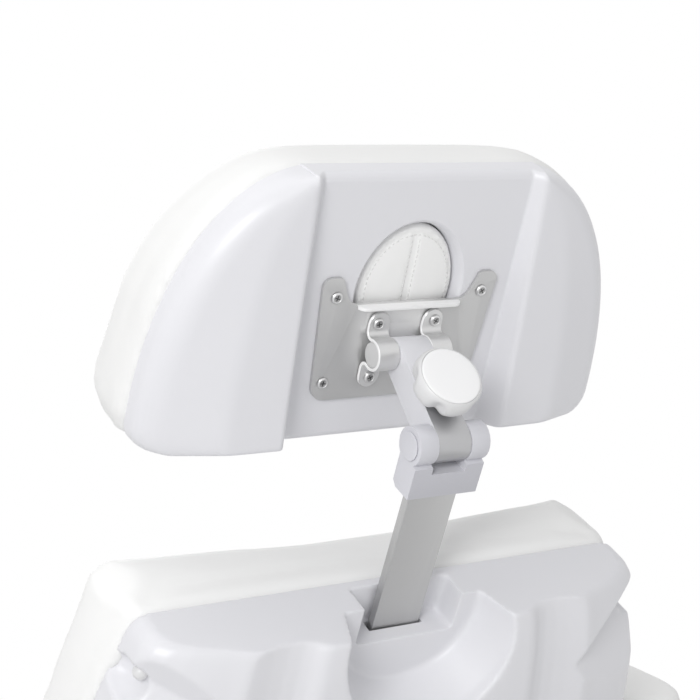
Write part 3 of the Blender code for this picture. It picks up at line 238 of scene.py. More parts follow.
# painted highlight: near-white colour on the plate's lip and on the straps' side edges, where light falls on them
paintedHighlight = satin("paintedHighlight", (0.93, 0.93, 0.93), (0.97, 0.97, 0.97), 0.5, metal=0.1)
linkSatin = satin("linkSatin", (0.46, 0.46, 0.47), (0.52, 0.52, 0.53), 0.40)
pinSteel = satin("pinSteel", (0.55, 0.55, 0.56), (0.66, 0.66, 0.67), 0.28)
screwSteel = satin("screwSteel", (0.66, 0.66, 0.66), (0.74, 0.74, 0.74), 0.34)
screwTopShade = satin("screwTopShade", (0.34, 0.34, 0.34), (0.44, 0.44, 0.44), 0.42)
screwRecessShade = satin("screwRecessShade", (0.09, 0.09, 0.09), (0.15, 0.15, 0.15), 0.5)
powderGrey = moulded("powderGrey", (0.55, 0.56, 0.58), (0.60, 0.61, 0.63), 0.42, 1800, 0.10)
blackMoulded = moulded("blackMoulded", (0.012, 0.012, 0.013), (0.022, 0.022, 0.024), 0.5, 1600, 0.12)
plyBoard = board("plyBoard")
print("finishes made")


# stage: white background, pale floor that fades to white, soft lamps

stage = dict(floorRadius=2.3, fade=(1.2, 2.1), world=0.57, floorColour=0.86)


def setWorld():
    made = bpy.data.worlds.new("studio")
    scene.world = made
    made.use_nodes = True
    tree = made.node_tree
    light = tree.nodes["Background"]
    light.inputs["Color"].default_value = (1, 1, 1, 1)
    ray = Wire(tree, tree.nodes.new("ShaderNodeLightPath").outputs["Is Camera Ray"])
    path = ray.socket.node
    seen = ray
    for name in ("Is Glossy Ray", "Is Transmission Ray"):
        seen = seen.sum("MAXIMUM", seen, Wire(tree, path.outputs[name]))
    power = stage["world"] + (1 - stage["world"]) * seen
    tree.links.new(power.socket, light.inputs["Strength"])


def layFloor():
    shape = bmesh.new()
    bmesh.ops.create_circle(shape, cap_ends=True, segments=96, radius=stage["floorRadius"])
    mesh = bpy.data.meshes.new("floor")
    shape.to_mesh(mesh)
    shape.free()
    floor = bpy.data.objects.new("floor", mesh)
    scene.collection.objects.link(floor)
    made, shader, place = newFinish("paleFloor", 0.6)
    level = stage["floorColour"]
    shader.inputs["Base Color"].default_value = (level, level, level, 1)
    tree = made.node_tree
    far = place.node("VectorMath", {"operation": "LENGTH"}, {0: place}, "Value")
    near, gone = stage["fade"]
    share = place.node("MapRange", None, {"Value": far, "From Min": near, "From Max": gone})
    glow = place.node("Emission", None, {"Strength": 1.0})
    surface = place.node("MixShader", None, {0: share, 1: Wire(tree, shader.outputs[0]), 2: glow})
    tree.links.new(surface.socket, tree.nodes["Material Output"].inputs["Surface"])
    mesh.materials.append(made)


lamps = [
    dict(name="sideLamp", place=(2.2, 0.8, 2.6), aim=(0.1, 0.5, 1.1), size=1.4, power=2),
    dict(name="rearLamp", place=(1.6, 2.0, 2.0), aim=(0.1, 0.5, 1.1), size=0.9, power=24),
    dict(name="topLamp", place=(0.6, 0.2, 3.4), aim=(0, 0.3, 0.9), size=2.0, power=9),
    dict(name="frontLamp", place=(-0.6, -3.2, 2.0), aim=(0, 0, 0.8), size=2.4, power=16),
]


def hangLamps():
    for lamp in lamps:
        made = bpy.data.lights.new(lamp["name"], "AREA")
        made.shape = "DISK"
        made.size = lamp["size"]
        made.energy = lamp["power"]
        held = bpy.data.objects.new(lamp["name"], made)
        aim = Vector(lamp["aim"]) - Vector(lamp["place"])
        held.matrix_world = Matrix.Translation(lamp["place"]) @ aim.to_track_quat("-Z", "Y").to_matrix().to_4x4()
        held.visible_camera = False
        scene.collection.objects.link(held)


setWorld()
layFloor()
hangLamps()
print("stage set")


# shared mesh tools

def datum(place, lean):
    return Matrix.Translation(place) @ Matrix.Rotation(-math.radians(lean), 4, "X")


backAt = datum((0, 0.493795, 1.029954), 24.63)  # slot of the height bar
headAt = datum((0, 0.503501, 1.283355), 21.17)  # rear panel at the upper strap screws


def addPiece(name, shape, finish, at=None):
    mesh = bpy.data.meshes.new(name)
    shape.to_mesh(mesh)
    shape.free()
    if at is not None:
        mesh.transform(at)
    mesh.materials.append(finish)
    mesh.shade_smooth()
    made = bpy.data.objects.new(name, mesh)
    scene.collection.objects.link(made)
    return made


def applyAll(piece):
    bpy.context.view_layer.update()
    seen = piece.evaluated_get(bpy.context.evaluated_depsgraph_get())
    mesh = bpy.data.meshes.new_from_object(seen)
    old = piece.data
    piece.modifiers.clear()
    piece.data = mesh
    mesh.name = piece.name
    bpy.data.meshes.remove(old)
    return piece


def cutWith(piece, shape):
    mesh = bpy.data.meshes.new("cutter")
    bmesh.ops.recalc_face_normals(shape, faces=shape.faces)
    shape.to_mesh(mesh)
    shape.free()
    cutter = bpy.data.objects.new("cutter", mesh)
    scene.collection.objects.link(cutter)
    step = piece.modifiers.new("cut", "BOOLEAN")
    step.operation = "DIFFERENCE"
    step.object = cutter
    applyAll(piece)
    bpy.data.objects.remove(cutter)
    bpy.data.meshes.remove(mesh)


def remeshed(piece, voxel, rounds):
    step = piece.modifiers.new("remesh", "REMESH")
    step.mode = "VOXEL"
    step.voxel_size = voxel
    step.use_smooth_shade = True
    soft = piece.modifiers.new("soft", "SMOOTH")
    soft.factor = 0.5
    soft.iterations = rounds
    return applyAll(piece)


def loft(rings, into=None):
    shape = into or bmesh.new()
    rows = [[shape.verts.new(point) for point in ring] for ring in rings]
    for low, high in zip(rows, rows[1:]):
        for i in range(len(low)):
            j = (i + 1) % len(low)
            shape.faces.new((low[i], low[j], high[j], high[i]))
    shape.faces.new(rows[0])
    shape.faces.new(rows[-1])
    bmesh.ops.recalc_face_normals(shape, faces=shape.faces)
    return shape


def block(low, high):
    shape = bmesh.new()
    size = [b - a for a, b in zip(low, high)]
    middle = [(a + b) / 2 for a, b in zip(low, high)]
    bmesh.ops.create_cube(shape, size=1, matrix=Matrix.Translation(middle) @ Matrix.Diagonal((*size, 1)))
    return shape


def cadCopy(node, name, finish):
    shape = bmesh.new()
    shape.from_mesh(nodes[node].data)
    bmesh.ops.remove_doubles(shape, verts=shape.verts, dist=1e-5)
    return addPiece(name, shape, finish)


def standFor(piece, *names, slot=None):
    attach(piece, nodes[names[0]]["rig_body"])
    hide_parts(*names)
    return piece


def eased(node, name, finish, width, segments=3, angle=28, trim=None):
    piece = cadCopy(node, name, finish)
    if trim:
        cutWith(piece, trim)
    shape = bmesh.new()
    shape.from_mesh(piece.data)
    bmesh.ops.dissolve_limit(shape, angle_limit=math.radians(2), verts=shape.verts, edges=shape.edges)
    shape.to_mesh(piece.data)
    shape.free()
    step = piece.modifiers.new("ease", "BEVEL")
    step.width = width
    step.segments = segments
    step.limit_method = "ANGLE"
    step.angle_limit = math.radians(angle)
    step.use_clamp_overlap = True
    step.harden_normals = True
    applyAll(piece)
    piece.data.shade_smooth()
    piece.data.set_sharp_from_angle(angle=math.radians(40))
    return standFor(piece, node)


def paint(finish, *names):
    for name in names:
        nodes[name].data.materials.clear()
        nodes[name].data.materials.append(finish)


def twoTone(piece, finish, test):
    piece.data.materials.append(finish)
    for face in piece.data.polygons:
        if test(face):
            face.material_index = len(piece.data.materials) - 1


# headrest shell: flat middle panel between two wings whose step deepens downwards

headShell = dict(
    top=123, bottom=-105, half=219, flat=94, bow=2.3, corner=20, seam=-20,
    foot=95.5, edge=103.5, lap=4, stepTop=8.5, stepLow=28, facet=(149, 162), facetFall=0.94,
    rim=4, rimWide=13, rimRound=1.5, rimFall=10, softness=(1.6, 4.5, 7, 9, 7),
    level=0.36, levelFrom=7, levelFade=45, lowRound=5, topRound=7,
    lowRows=(0, 0.5, 1.4, 3, 5.5, 9, 14, 20), evenRows=32, topRows=(4.5, 2.6, 1.2, 0.4, 0.05),
    hole=(22.5, 46, 56),
    mouth=[(5.1, 60), (5.1, 0.05), (4.8, -0.1), (4.2, -0.4), (3.1, -1.3), (2.0, -2.9), (1.1, -5.0),
           (0.4, -7.5), (-0.2, -10.5), (-0.4, -13.0), (-0.4, -60)],
    flatNormal=0.99995, sharpFrom=45, evenWeight=60)


def softLine(points, reaches, steps=4):
    out = [Vector(points[0])]
    for before, corner, after, reach in zip(points, points[1:], points[2:], reaches):
        corner = Vector(corner)
        back, on = Vector(before) - corner, Vector(after) - corner
        start = corner + back.normalized() * min(reach, 0.48 * back.length)
        end = corner + on.normalized() * min(reach, 0.48 * on.length)
        for i in range(steps + 1):
            t = i / steps
            out.append(start * (1 - t) ** 2 + corner * 2 * t * (1 - t) + end * t ** 2)
    return out + [Vector(points[-1])]


def headHalf(v):
    h = headShell
    share = (v - h["bottom"]) / (h["top"] - h["bottom"])
    half = h["flat"] + (h["half"] - h["flat"]) * math.sqrt(max(0.0, 1 - share ** h["bow"]))
    short = max(0.0, h["corner"] - (v - h["bottom"]))
    return half - h["corner"] + math.sqrt(max(0.0, h["corner"] ** 2 - short ** 2))


def headRow(v):
    h = headShell
    edge, foot = h["edge"], h["foot"]
    half = max(headHalf(v), edge + h["lap"])
    down = (h["top"] - v) / (h["top"] - h["bottom"])
    rise = h["stepTop"] + (h["stepLow"] - h["stepTop"]) * down
    drop = 0.0
    low, high = h["lowRound"] - (v - h["bottom"]), h["topRound"] - (h["top"] - v)
    if low > 0:
        drop = h["lowRound"] - math.sqrt(max(0.0, h["lowRound"] ** 2 - low ** 2))
    if high > 0:
        drop = h["topRound"] - math.sqrt(max(0.0, h["topRound"] ** 2 - high ** 2))
    rim = min(rise, h["rim"])
    near, far = h["facet"]
    inner = half - min(h["rimWide"], 0.5 * (half - edge))
    facet = min(near + (far - near) * down, edge + 0.5 * (inner - edge))
    right = softLine([(0, 0), (foot, 0), (edge, rise), (facet, h["facetFall"] * rise), (inner, rim + h["rimRound"]),
                      (half - h["rimRound"], rim - h["rimFall"]), (half, h["seam"])], h["softness"])
    climb = h["level"] * max(0.0, 1 - (v - h["bottom"]) / h["levelFade"])
    line = [(x, max(w - drop, h["seam"]), v + climb * max(0.0, w - h["levelFrom"])) for x, w in right]
    left = [(-x, w, up) for x, w, up in reversed(line[1:])]
    return [(x * mm, w * mm, up * mm) for x, w, up in left + line]


def ovalRing(grow, w):
    up, halfX, halfV = headShell["hole"]
    turns = [2 * math.pi * i / 96 for i in range(96)]
    return [((halfX + grow) * math.cos(a) * mm, w * mm, (up + (halfV + grow) * math.sin(a)) * mm) for a in turns]


def makeHeadShell():
    h = headShell
    rows = [h["bottom"] + s for s in h["lowRows"]]
    low, count = rows[-1], h["evenRows"]
    tall = h["top"] - h["topRound"] - low
    rows += [low + tall * i / count for i in range(1, count + 1)]
    rows += [h["top"] - s for s in h["topRows"]]
    piece = addPiece("headrestShell", loft([headRow(v) for v in rows]), shellGrey)
    cutWith(piece, loft([ovalRing(grow, w) for grow, w in h["mouth"]]))
    piece.data.shade_smooth()
    piece.data.set_sharp_from_angle(angle=math.radians(h["sharpFrom"]))
    for face in piece.data.polygons:
        face.use_smooth = face.normal.y < h["flatNormal"]
    even = piece.modifiers.new("even", "WEIGHTED_NORMAL")
    even.weight = h["evenWeight"]
    even.keep_sharp = True
    applyAll(piece)
    piece.data.transform(headAt)
    return standFor(piece, "headrest_shell", slot="shell_abs")


makeHeadShell()
print("headrest shell made")


# backrest shell: pocket with the bar's slot, flared round dish, fluted sides, side recesses, slanting hand grips

backShell = dict(
    top=36, bottom=-490, topHalf=230, wideHalf=275, wideAt=-220, lowHalf=240, bowTop=1.6, bowLow=2,
    corner=12, lowCorner=22, seam=-21, ridge=50, ridgeHalf=80, flare=26, flareLong=75, taper=40,
    dish=(24, 65, 79, 15), dishRim=5, dishPast=(2, 90), pocket=(46, -12), pocketPast=200,
    slot=(25.5, 1.5, 8), slotDeep=(-50, 20),
    recess=(246, 4, -4), recessReach=(24, 30, 16),
    flutes=[(94, 0.8), (99, 2.5), (106, 7.5), (114, 10.5), (126, 11.5), (138, 10.5), (149, 8.5),
            (156, 7.2), (161, 8.5), (170, 12)],
    flank=[(44, 17), (27, 23), (13, 30), (4, 38), (0, 50)], flankLow=4,
    valley=((-220, 13.6, -2.5), (-156, 57, -31)), over=(-226, 19, 24), under=(-236, 29, -41),
    gripPast=(60, 30), gripWalls=(90, 120),
    guideRoom=((-32.5, -18, -240), (32.5, 9, -12.5)), frameRoom=((-215, -30, -520), (215, 26, -215)),
    rows=(0, 1.5, 4, 8, 14, 22, 32, 44, 60, 80, 104, 130, 160, 190, 220, 256, 300, 340, 380, 420, 455, 480, 500,
          512, 520, 524, 526),
    voxel=2.1, rounds=5, keep=0.4, sharpFrom=50)


def backHalf(v):
    b = backShell
    if v > b["wideAt"]:
        share = (v - b["wideAt"]) / (b["top"] - b["wideAt"])
        half = b["wideHalf"] - (b["wideHalf"] - b["topHalf"]) * share ** b["bowTop"]
    else:
        share = (b["wideAt"] - v) / (b["wideAt"] - b["bottom"])
        half = b["wideHalf"] - (b["wideHalf"] - b["lowHalf"]) * share ** b["bowLow"]
    for corner, gap in ((b["corner"], b["top"] - v), (b["lowCorner"], v - b["bottom"])):
        half -= corner - math.sqrt(corner ** 2 - max(0.0, corner - gap) ** 2)
    return half


def backRow(v):
    b = backShell
    half = backHalf(v)
    down = b["top"] - v
    r = b["ridge"] + b["flare"] * (1 - math.exp(-down / b["flareLong"]))
    r -= b["taper"] * (down / (b["top"] - b["bottom"])) ** 2
    spread = half / b["topHalf"]
    right = [(0, r), (b["ridgeHalf"], r)] + [(x * spread, r - drop) for x, drop in b["flutes"]]
    right += [(half - x, r - drop) for x, drop in b["flank"]]
    right = [(x, max(w, b["seam"] + b["flankLow"])) for x, w in right] + [(half, b["seam"])]
    left = [(-x, w) for x, w in reversed(right[1:])]
    return [(x * mm, w * mm, v * mm) for x, w in left + right]


def makeBackShell():
    b = backShell
    piece = addPiece("backrestShell", loft([backRow(b["top"] - s) for s in b["rows"]]), shellGrey)
    up, inner, outer, floor = b["dish"]
    turns = [2 * math.pi * i / 72 for i in range(72)]
    out, far = b["dishPast"]
    spots = [(inner, floor), (outer, b["ridge"] + b["dishRim"]), (outer + out, b["ridge"] + far)]
    cutWith(piece, loft([[(r * math.cos(a) * mm, w * mm, (up + r * math.sin(a)) * mm) for a in turns]
                         for r, w in spots]))
    wide, wall = b["pocket"]
    past = b["pocketPast"] * mm
    cutWith(piece, block((-wide * mm, wall * mm, 0), (wide * mm, past, past)))
    x, w, v = b["recess"]
    reach = Matrix.Diagonal([size * mm for size in b["recessReach"]]).to_4x4()
    dents = bmesh.new()
    for side in (-1, 1):
        bmesh.ops.create_uvsphere(dents, u_segments=40, v_segments=24, radius=1,
                                  matrix=Matrix.Translation((side * x * mm, w * mm, v * mm)) @ reach)
    cutWith(piece, dents)
    start, end = (Vector(point) for point in b["valley"])
    on = (end - start).normalized()
    walls = [Vector(b[name]) - end for name in ("over", "under")]
    walls = [(wall - on * wall.dot(on)).normalized() for wall in walls]
    before, after = b["gripPast"]
    over, under = b["gripWalls"]
    for side in (-1, 1):
        rings = []
        for spot in (start - on * before, end + on * after):
            ring = [spot, spot + walls[0] * over, spot + walls[1] * under]
            rings.append([(-side * p.x * mm, p.y * mm, p.z * mm) for p in ring])
        cutWith(piece, loft(rings))
    remeshed(piece, b["voxel"] * mm, b["rounds"])
    fewer = piece.modifiers.new("fewer", "DECIMATE")
    fewer.ratio = b["keep"]
    applyAll(piece)
    wide, play, thick = b["slot"]
    low, high = b["slotDeep"]
    cutWith(piece, block((-wide * mm, (-thick - play) * mm, low * mm), (wide * mm, play * mm, high * mm)))
    for room in (b["guideRoom"], b["frameRoom"]):
        cutWith(piece, block(*([size * mm for size in corner] for corner in room)))
    piece.data.shade_smooth()
    piece.data.set_sharp_from_angle(angle=math.radians(b["sharpFrom"]))
    piece.data.transform(backAt)
    return standFor(piece, "backrest_shell", slot="shell_abs")


makeBackShell()
print("backrest shell made")


# upholstery: the CAD form, remeshed and blown up as cloth over its seam

cover = dict(quality=4, mass=0.3, stretch=20, bend=2, frames=20, fill=0.85)


def blowUp(piece, swell, cap, pinned):
    mesh = piece.data
    count = len(mesh.vertices)
    rest = np.empty(count * 3)
    mesh.vertices.foreach_get("co", rest)
    rest = rest.reshape(-1, 3)
    group = piece.vertex_groups.new(name="seam")
    group.add([int(i) for i in np.nonzero(pinned(rest) > 0.5)[0]], 1.0, "REPLACE")
    cloth = piece.modifiers.new("cloth", "CLOTH")
    cloth.settings.quality = cover["quality"]
    cloth.settings.mass = cover["mass"]
    cloth.settings.tension_stiffness = cover["stretch"]
    cloth.settings.compression_stiffness = cover["stretch"]
    cloth.settings.bending_stiffness = cover["bend"]
    cloth.settings.use_pressure = True
    cloth.settings.uniform_pressure_force = swell
    cloth.settings.vertex_group_mass = "seam"
    cloth.settings.effector_weights.gravity = 0
    cloth.collision_settings.use_collision = False
    cloth.point_cache.frame_start = 1
    cloth.point_cache.frame_end = cover["frames"]
    for step in range(1, cover["frames"] + 1):
        scene.frame_set(step)
    seen = piece.evaluated_get(bpy.context.evaluated_depsgraph_get())
    blown = np.empty(count * 3)
    seen.data.vertices.foreach_get("co", blown)
    moved = blown.reshape(-1, 3) - rest
    far = np.linalg.norm(moved, axis=1, keepdims=True)
    moved *= np.minimum(1.0, cap / np.maximum(far, 1e-9))
    piece.modifiers.clear()
    scene.frame_set(1)
    mesh.vertices.foreach_set("co", (rest + moved).ravel())
    mesh.update()
    print(piece.name, "cloth moved", round(float(far.max()) * 1000, 1), "mm")
    piece.data.shade_smooth()


def inflate(piece, voxel, swell, cap, pinned, fit=None):
    remeshed(piece, voxel, 2)
    if fit:
        points = np.empty(len(piece.data.vertices) * 3)
        piece.data.vertices.foreach_get("co", points)
        piece.data.vertices.foreach_set("co", fit(points.reshape(-1, 3)).ravel())
    blowUp(piece, swell, cap, pinned)
    soft = piece.modifiers.new("soft", "SMOOTH")
    soft.factor = 0.5
    soft.iterations = 3
    finer = piece.modifiers.new("finer", "SUBSURF")
    finer.levels = 1
    finer.render_levels = 1
    applyAll(piece)
    piece.data.shade_smooth()
    return piece


def localOf(at):
    inverse = np.array(at.inverted())
    return lambda points: points @ inverse[:3, :3].T + inverse[:3, 3]


def upholster(node, name, form, seam, fit=None, finish=paleVinyl):
    piece = cadCopy(node, name, finish)
    inflate(piece, form["voxel"], form["swell"], form["cap"], seam, fit)
    standFor(piece, node, slot="white_vinyl")


inHead, inBack = localOf(headAt), localOf(backAt)
outHead, outBack = localOf(headAt.inverted()), localOf(backAt.inverted())


headPad = dict(voxel=0.005, swell=4, cap=0.003, seam=-0.0265,
               meetFrom=-0.046, meetLong=0.024, widen=0.034, push=0.0015)
backPad = dict(voxel=0.006, swell=4, cap=0.004, seam=-0.028,
               cornerFrom=0.18, cornerAt=0.2065, cornerTop=0.048, slope=0.48,
               skew=0.007, skewFrom=-0.021, skewDeep=0.06, skewTall=0.25)
seatPad = dict(voxel=0.006, swell=4, cap=0.004, seam=0.007)
legPad = dict(voxel=0.006, swell=4, cap=0.004, seam=0.048, hinge=(0, -0.310, 0.505), lean=35)
armPad = dict(voxel=0.005, swell=4, cap=0.003, seam=0.006)


def meetShell(points):  # closes the groove between cushion and shell
    h = headPad
    p = inHead(points)
    near = np.clip((p[:, 1] - h["meetFrom"]) / h["meetLong"], 0, 1)
    p[:, 0] *= 1 + h["widen"] * near
    p[:, 1] += h["push"] * near
    return outHead(p)


def squareCorners(points):  # slanting upper corners, and a front that leans to one side as photographed
    b = backPad
    p = inBack(points)
    out = np.abs(p[:, 0])
    most = b["cornerTop"] - b["slope"] * (out - b["cornerAt"])
    p[:, 2] = np.where(out > b["cornerFrom"], np.minimum(p[:, 2], most), p[:, 2])
    front = np.clip((b["skewFrom"] - p[:, 1]) / b["skewDeep"], 0, 1)
    p[:, 0] += b["skew"] * front * np.clip((p[:, 2] + b["skewTall"]) / b["skewTall"], 0, 1)
    return outBack(p)


upholster("headrest_cushion", "headrestCushion", headPad, lambda p: inHead(p)[:, 1] > headPad["seam"], meetShell,
          whiteVinyl)
upholster("backrest_cushion", "backrestCushion", backPad, lambda p: inBack(p)[:, 1] > backPad["seam"], squareCorners)
print("back and head cushions made")

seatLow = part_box("seat_cushion")[0].z
upholster("seat_cushion", "seatCushion", seatPad, lambda p: p[:, 2] < seatLow + seatPad["seam"])
inLeg = localOf(datum(legPad["hinge"], -legPad["lean"]))
for hand in ("left", "right"):
    upholster("leg_pad_" + hand, "legPad" + hand.title(), legPad, lambda p: inLeg(p)[:, 2] < legPad["seam"])
    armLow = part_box("armrest_pad_" + hand)[0].z
    upholster("armrest_pad_" + hand, "armPad" + hand.title(), armPad, lambda p: p[:, 2] < armLow + armPad["seam"])
print("seat, leg and arm pads made")


# face plug: two halves and a border, sewn, so the seams stay low when it is blown up

plugSeams = dict(border=0.86, borderWide=0.016, middle=1.7, middleWide=0.9, rear=-30, groove=0.9,
                 voxel=1.7, swell=3, cap=1.2, fill=0.9, threadIn=0.035, threadSide=3.6, threadShort=3,
                 pitch=4.2, stitch=2.8, thread=0.42, castFrom=60,
                 stitchForm=((-0.5, 0.25, -0.3), (-0.36, 0.85, 0.45), (0, 1.0, 0.45), (0.36, 0.85, 0.45),
                             (0.5, 0.25, -0.3)))


def plugSeamed(points):
    p, seams = inHead(points), plugSeams
    up, halfX, halfV = headShell["hole"]
    far = np.hypot(p[:, 0] / (halfX * mm), (p[:, 2] - up * mm) / (halfV * mm))
    rear = p[:, 1] > seams["rear"] * mm
    onBorder = np.abs(far - seams["border"]) < seams["borderWide"]
    aside = np.abs(np.abs(p[:, 0]) - seams["middle"] * mm)
    onMiddle = (aside < seams["middleWide"] * mm) & (far < seams["border"])
    return (rear & (onBorder | onMiddle)).astype(float)


def makePlug():
    seams = plugSeams
    piece = cadCopy("face_plug", "facePlug", paleVinyl)
    remeshed(piece, seams["voxel"] * mm, 2)
    points = np.empty(len(piece.data.vertices) * 3)
    piece.data.vertices.foreach_get("co", points)
    points = points.reshape(-1, 3)
    inward = np.array(headAt.to_3x3() @ Vector((0, -1, 0)))
    points += plugSeamed(points)[:, None] * inward * seams["groove"] * mm
    piece.data.vertices.foreach_set("co", points.ravel())
    blowUp(piece, seams["swell"], seams["cap"] * mm, plugSeamed)
    standFor(piece, "face_plug", slot="white_vinyl")
    up, halfX, halfV = headShell["hole"]
    turns = [2 * math.pi * i / 160 for i in range(161)]
    share = seams["border"] - seams["threadIn"]
    paths = [[(share * halfX * math.cos(a) * mm, 0, (up + share * halfV * math.sin(a)) * mm) for a in turns]]
    reach = seams["border"] * halfV - seams["threadShort"]
    for side in (-1, 1):
        paths.append([(side * seams["threadSide"] * mm, 0, (up + reach * t / 20) * mm) for t in range(-20, 21)])
    sewn = sew("plugThread", piece, [[headAt @ Vector(p) for p in path] for path in paths],
               headAt.to_3x3() @ Vector((0, 1, 0)))
    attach(sewn, "plug")


def sew(name, piece, paths, out):
    tree = BVHTree.FromPolygons([v.co for v in piece.data.vertices], [p.vertices for p in piece.data.polygons])
    shape = bmesh.new()
    p = plugSeams
    for path in paths:
        spots = evenly(path, p["pitch"] * mm)
        for here, there in zip(spots, spots[1:]):
            on = (there - here).normalized()
            middle = (here + there) / 2
            hit, normal, _, _ = tree.ray_cast(middle + out * p["castFrom"] * mm, -out)
            if hit is None:
                continue
            side = on.cross(normal).normalized()
            rows = []
            for along, wide, lift in p["stitchForm"]:
                centre = hit + on * along * p["stitch"] * mm + normal * p["thread"] * mm * lift
                turn = [2 * math.pi * i / 6 for i in range(6)]
                rows.append([centre + (side * math.cos(a) + normal * math.sin(a)) * p["thread"] * mm * wide
                             for a in turn])
            loft(rows, into=shape)
    return addPiece(name, shape, threadWhite)


def evenly(path, pitch):
    out = [path[0]]
    left = pitch
    for here, there in zip(path, path[1:]):
        run = (there - here).length
        spot = 0.0
        while run - spot >= left:
            spot += left
            out.append(here + (there - here) * spot / run)
            left = pitch
        left -= run - spot
    return out


makePlug()
print("plug made")


# neck: dented clamp knob with a flat cap

knob = dict(up=35.4, radius=28.4, dents=5, turn=-52, bite=5.0, narrow=4, capRadius=24.8, top=40, steps=128,
            side=[(12, 17.6, 0.6), (9.2, 17.8, 1.0), (6.2, 19.0, 1.0), (3.6, 21.0, 1.0), (1.7, 23.6, 1.0),
                  (0.5, 26.6, 1.0), (0, 29.5, 1.0), (0, 32.0, 0.8), (0.3, 34.6, 0.4), (1.0, 37.0, 0.1),
                  (1.9, 38.3, 0), (2.6, 39.2, 0)],
            seat=[(0.35, -0.4), (0.15, -0.6), (0.1, -1.7), (-6, -1.9)],
            cap=[(-6, -1.7), (-0.2, -1.6), (-0.1, -0.6), (-0.5, -0.1), (-1.6, 0.1), (-8, 0.25), (-16, 0.3),
                 (-23.8, 0.3)])
neckAt = datum((0, 0.563675, 1.191972), -39.4)


def knobRing(r, w, bite):
    ring = []
    for i in range(knob["steps"]):
        a = 2 * math.pi * i / knob["steps"]
        wave = 0.5 + 0.5 * math.cos(knob["dents"] * (a - math.radians(knob["turn"])))
        reach = r - bite * wave ** knob["narrow"]
        ring.append((reach * math.cos(a) * mm, w * mm, (knob["up"] + reach * math.sin(a)) * mm))
    return ring


def makeKnob():
    r, bite, cap, top = knob["radius"], knob["bite"], knob["capRadius"], knob["top"]
    rings = [knobRing(r - inset, w, bite * share) for inset, w, share in knob["side"]]
    rings += [knobRing(cap + grow, top + w, 0) for grow, w in knob["seat"]]
    body = addPiece("knobBody", loft(rings), knobWhite, neckAt)
    standFor(body, "knob_body", slot="white_abs")
    rings = [knobRing(cap + grow, top + w, 0) for grow, w in knob["cap"]]
    lid = addPiece("knobCap", loft(rings), capWhite, neckAt)
    standFor(lid, "knob_cap", slot="white_abs")


makeKnob()


# hinge straps: a strip that leaves its upper tab, goes round the pin and ends in its lower tab

strap = dict(inner=15.4, outer=34.4, thick=2.6, edge=0.5, lay=5.3, top=8.5, bottom=-57, bend=6, pin=(17, -22.8),
             wrap=11.7, tabRows=(0, 0.3, 1, 2.2, 4, 6.5, 9.5, 12), lowRow=14, tipHalf=0.2, highlightSideNormal=0.7)


def strapLine():
    p = strap
    w, v = p["pin"]
    across = p["lay"] + p["bend"] - w
    rise = math.sqrt((p["wrap"] + p["bend"]) ** 2 - across ** 2)
    lean = math.degrees(math.atan2(rise, across))
    line = [(p["lay"], p["top"] - s) for s in p["tabRows"]]
    for a in range(0, 11):
        t = math.radians(180 + lean * a / 10)
        line.append((w + across + p["bend"] * math.cos(t), v + rise + p["bend"] * math.sin(t)))
    for a in range(1, 32):
        t = math.radians(lean - 2 * lean * a / 32)
        line.append((w + p["wrap"] * math.cos(t), v + p["wrap"] * math.sin(t)))
    for a in range(0, 11):
        t = math.radians(180 - lean + lean * a / 10)
        line.append((w + across + p["bend"] * math.cos(t), v - rise + p["bend"] * math.sin(t)))
    line += [(p["lay"], p["bottom"] + s) for s in (p["lowRow"], *reversed(p["tabRows"]))]
    return [Vector(point) for point in line]


def makeStrap(side, name):
    p = strap
    line = strapLine()
    lengths = [0.0]
    for here, there in zip(line, line[1:]):
        lengths.append(lengths[-1] + (there - here).length)
    middle, half = (p["inner"] + p["outer"]) / 2, (p["outer"] - p["inner"]) / 2
    rings = []
    for i, spot in enumerate(line):
        on = (line[min(i + 1, len(line) - 1)] - line[max(i - 1, 0)]).normalized()
        out = Vector((-on.y, on.x))
        left = min(lengths[i], lengths[-1] - lengths[i])
        wide = half if left > half else math.sqrt(max(p["tipHalf"] ** 2, half ** 2 - (half - left) ** 2))
        thick, edge = p["thick"] / 2, min(p["edge"], wide / 2)
        ring = []
        for x, t in ((-wide, -thick + edge), (-wide + edge, -thick), (wide - edge, -thick), (wide, -thick + edge),
                     (wide, thick - edge), (wide - edge, thick), (-wide + edge, thick), (-wide, thick - edge)):
            place = spot + out * t
            ring.append((side * (middle + x) * mm, place.x * mm, place.y * mm))
        rings.append(ring)
    piece = addPiece("hingeStrap" + name.title(), loft(rings), strapSatin, headAt)
    # painted highlight on the strap's side edges
    twoTone(piece, paintedHighlight, lambda face: abs(face.normal.x) > p["highlightSideNormal"])
    piece.data.set_sharp_from_angle(angle=math.radians(35))
    standFor(piece, "hinge_strap_" + name, slot="satin_steel")


makeStrap(1, "left")
makeStrap(-1, "right")


def turned(name, rows, at, finish, steps=40):
    turns = [2 * math.pi * i / steps for i in range(steps)]
    rings = [[(x * mm, r * math.cos(a) * mm, r * math.sin(a) * mm) for a in turns] for r, x in rows]
    piece = addPiece(name, loft(rings), finish, at)
    piece.data.set_sharp_from_angle(angle=math.radians(35))
    return piece


pinHalf = [(5, 15.6), (10.2, 15.7), (10.2, 33), (10, 33.6), (8.5, 33.9)]
pinRows = [(r, -x) for r, x in reversed(pinHalf)] + pinHalf
pinW, pinV = strap["pin"]
standFor(turned("upperHingePin", pinRows, headAt @ Matrix.Translation((0, pinW * mm, pinV * mm)), pinEnd),
         "upper_hinge_pin", slot="satin_steel")


# screws: pan heads with a bright rim and a cross recess, with painted shade on the top of the head and in the recess

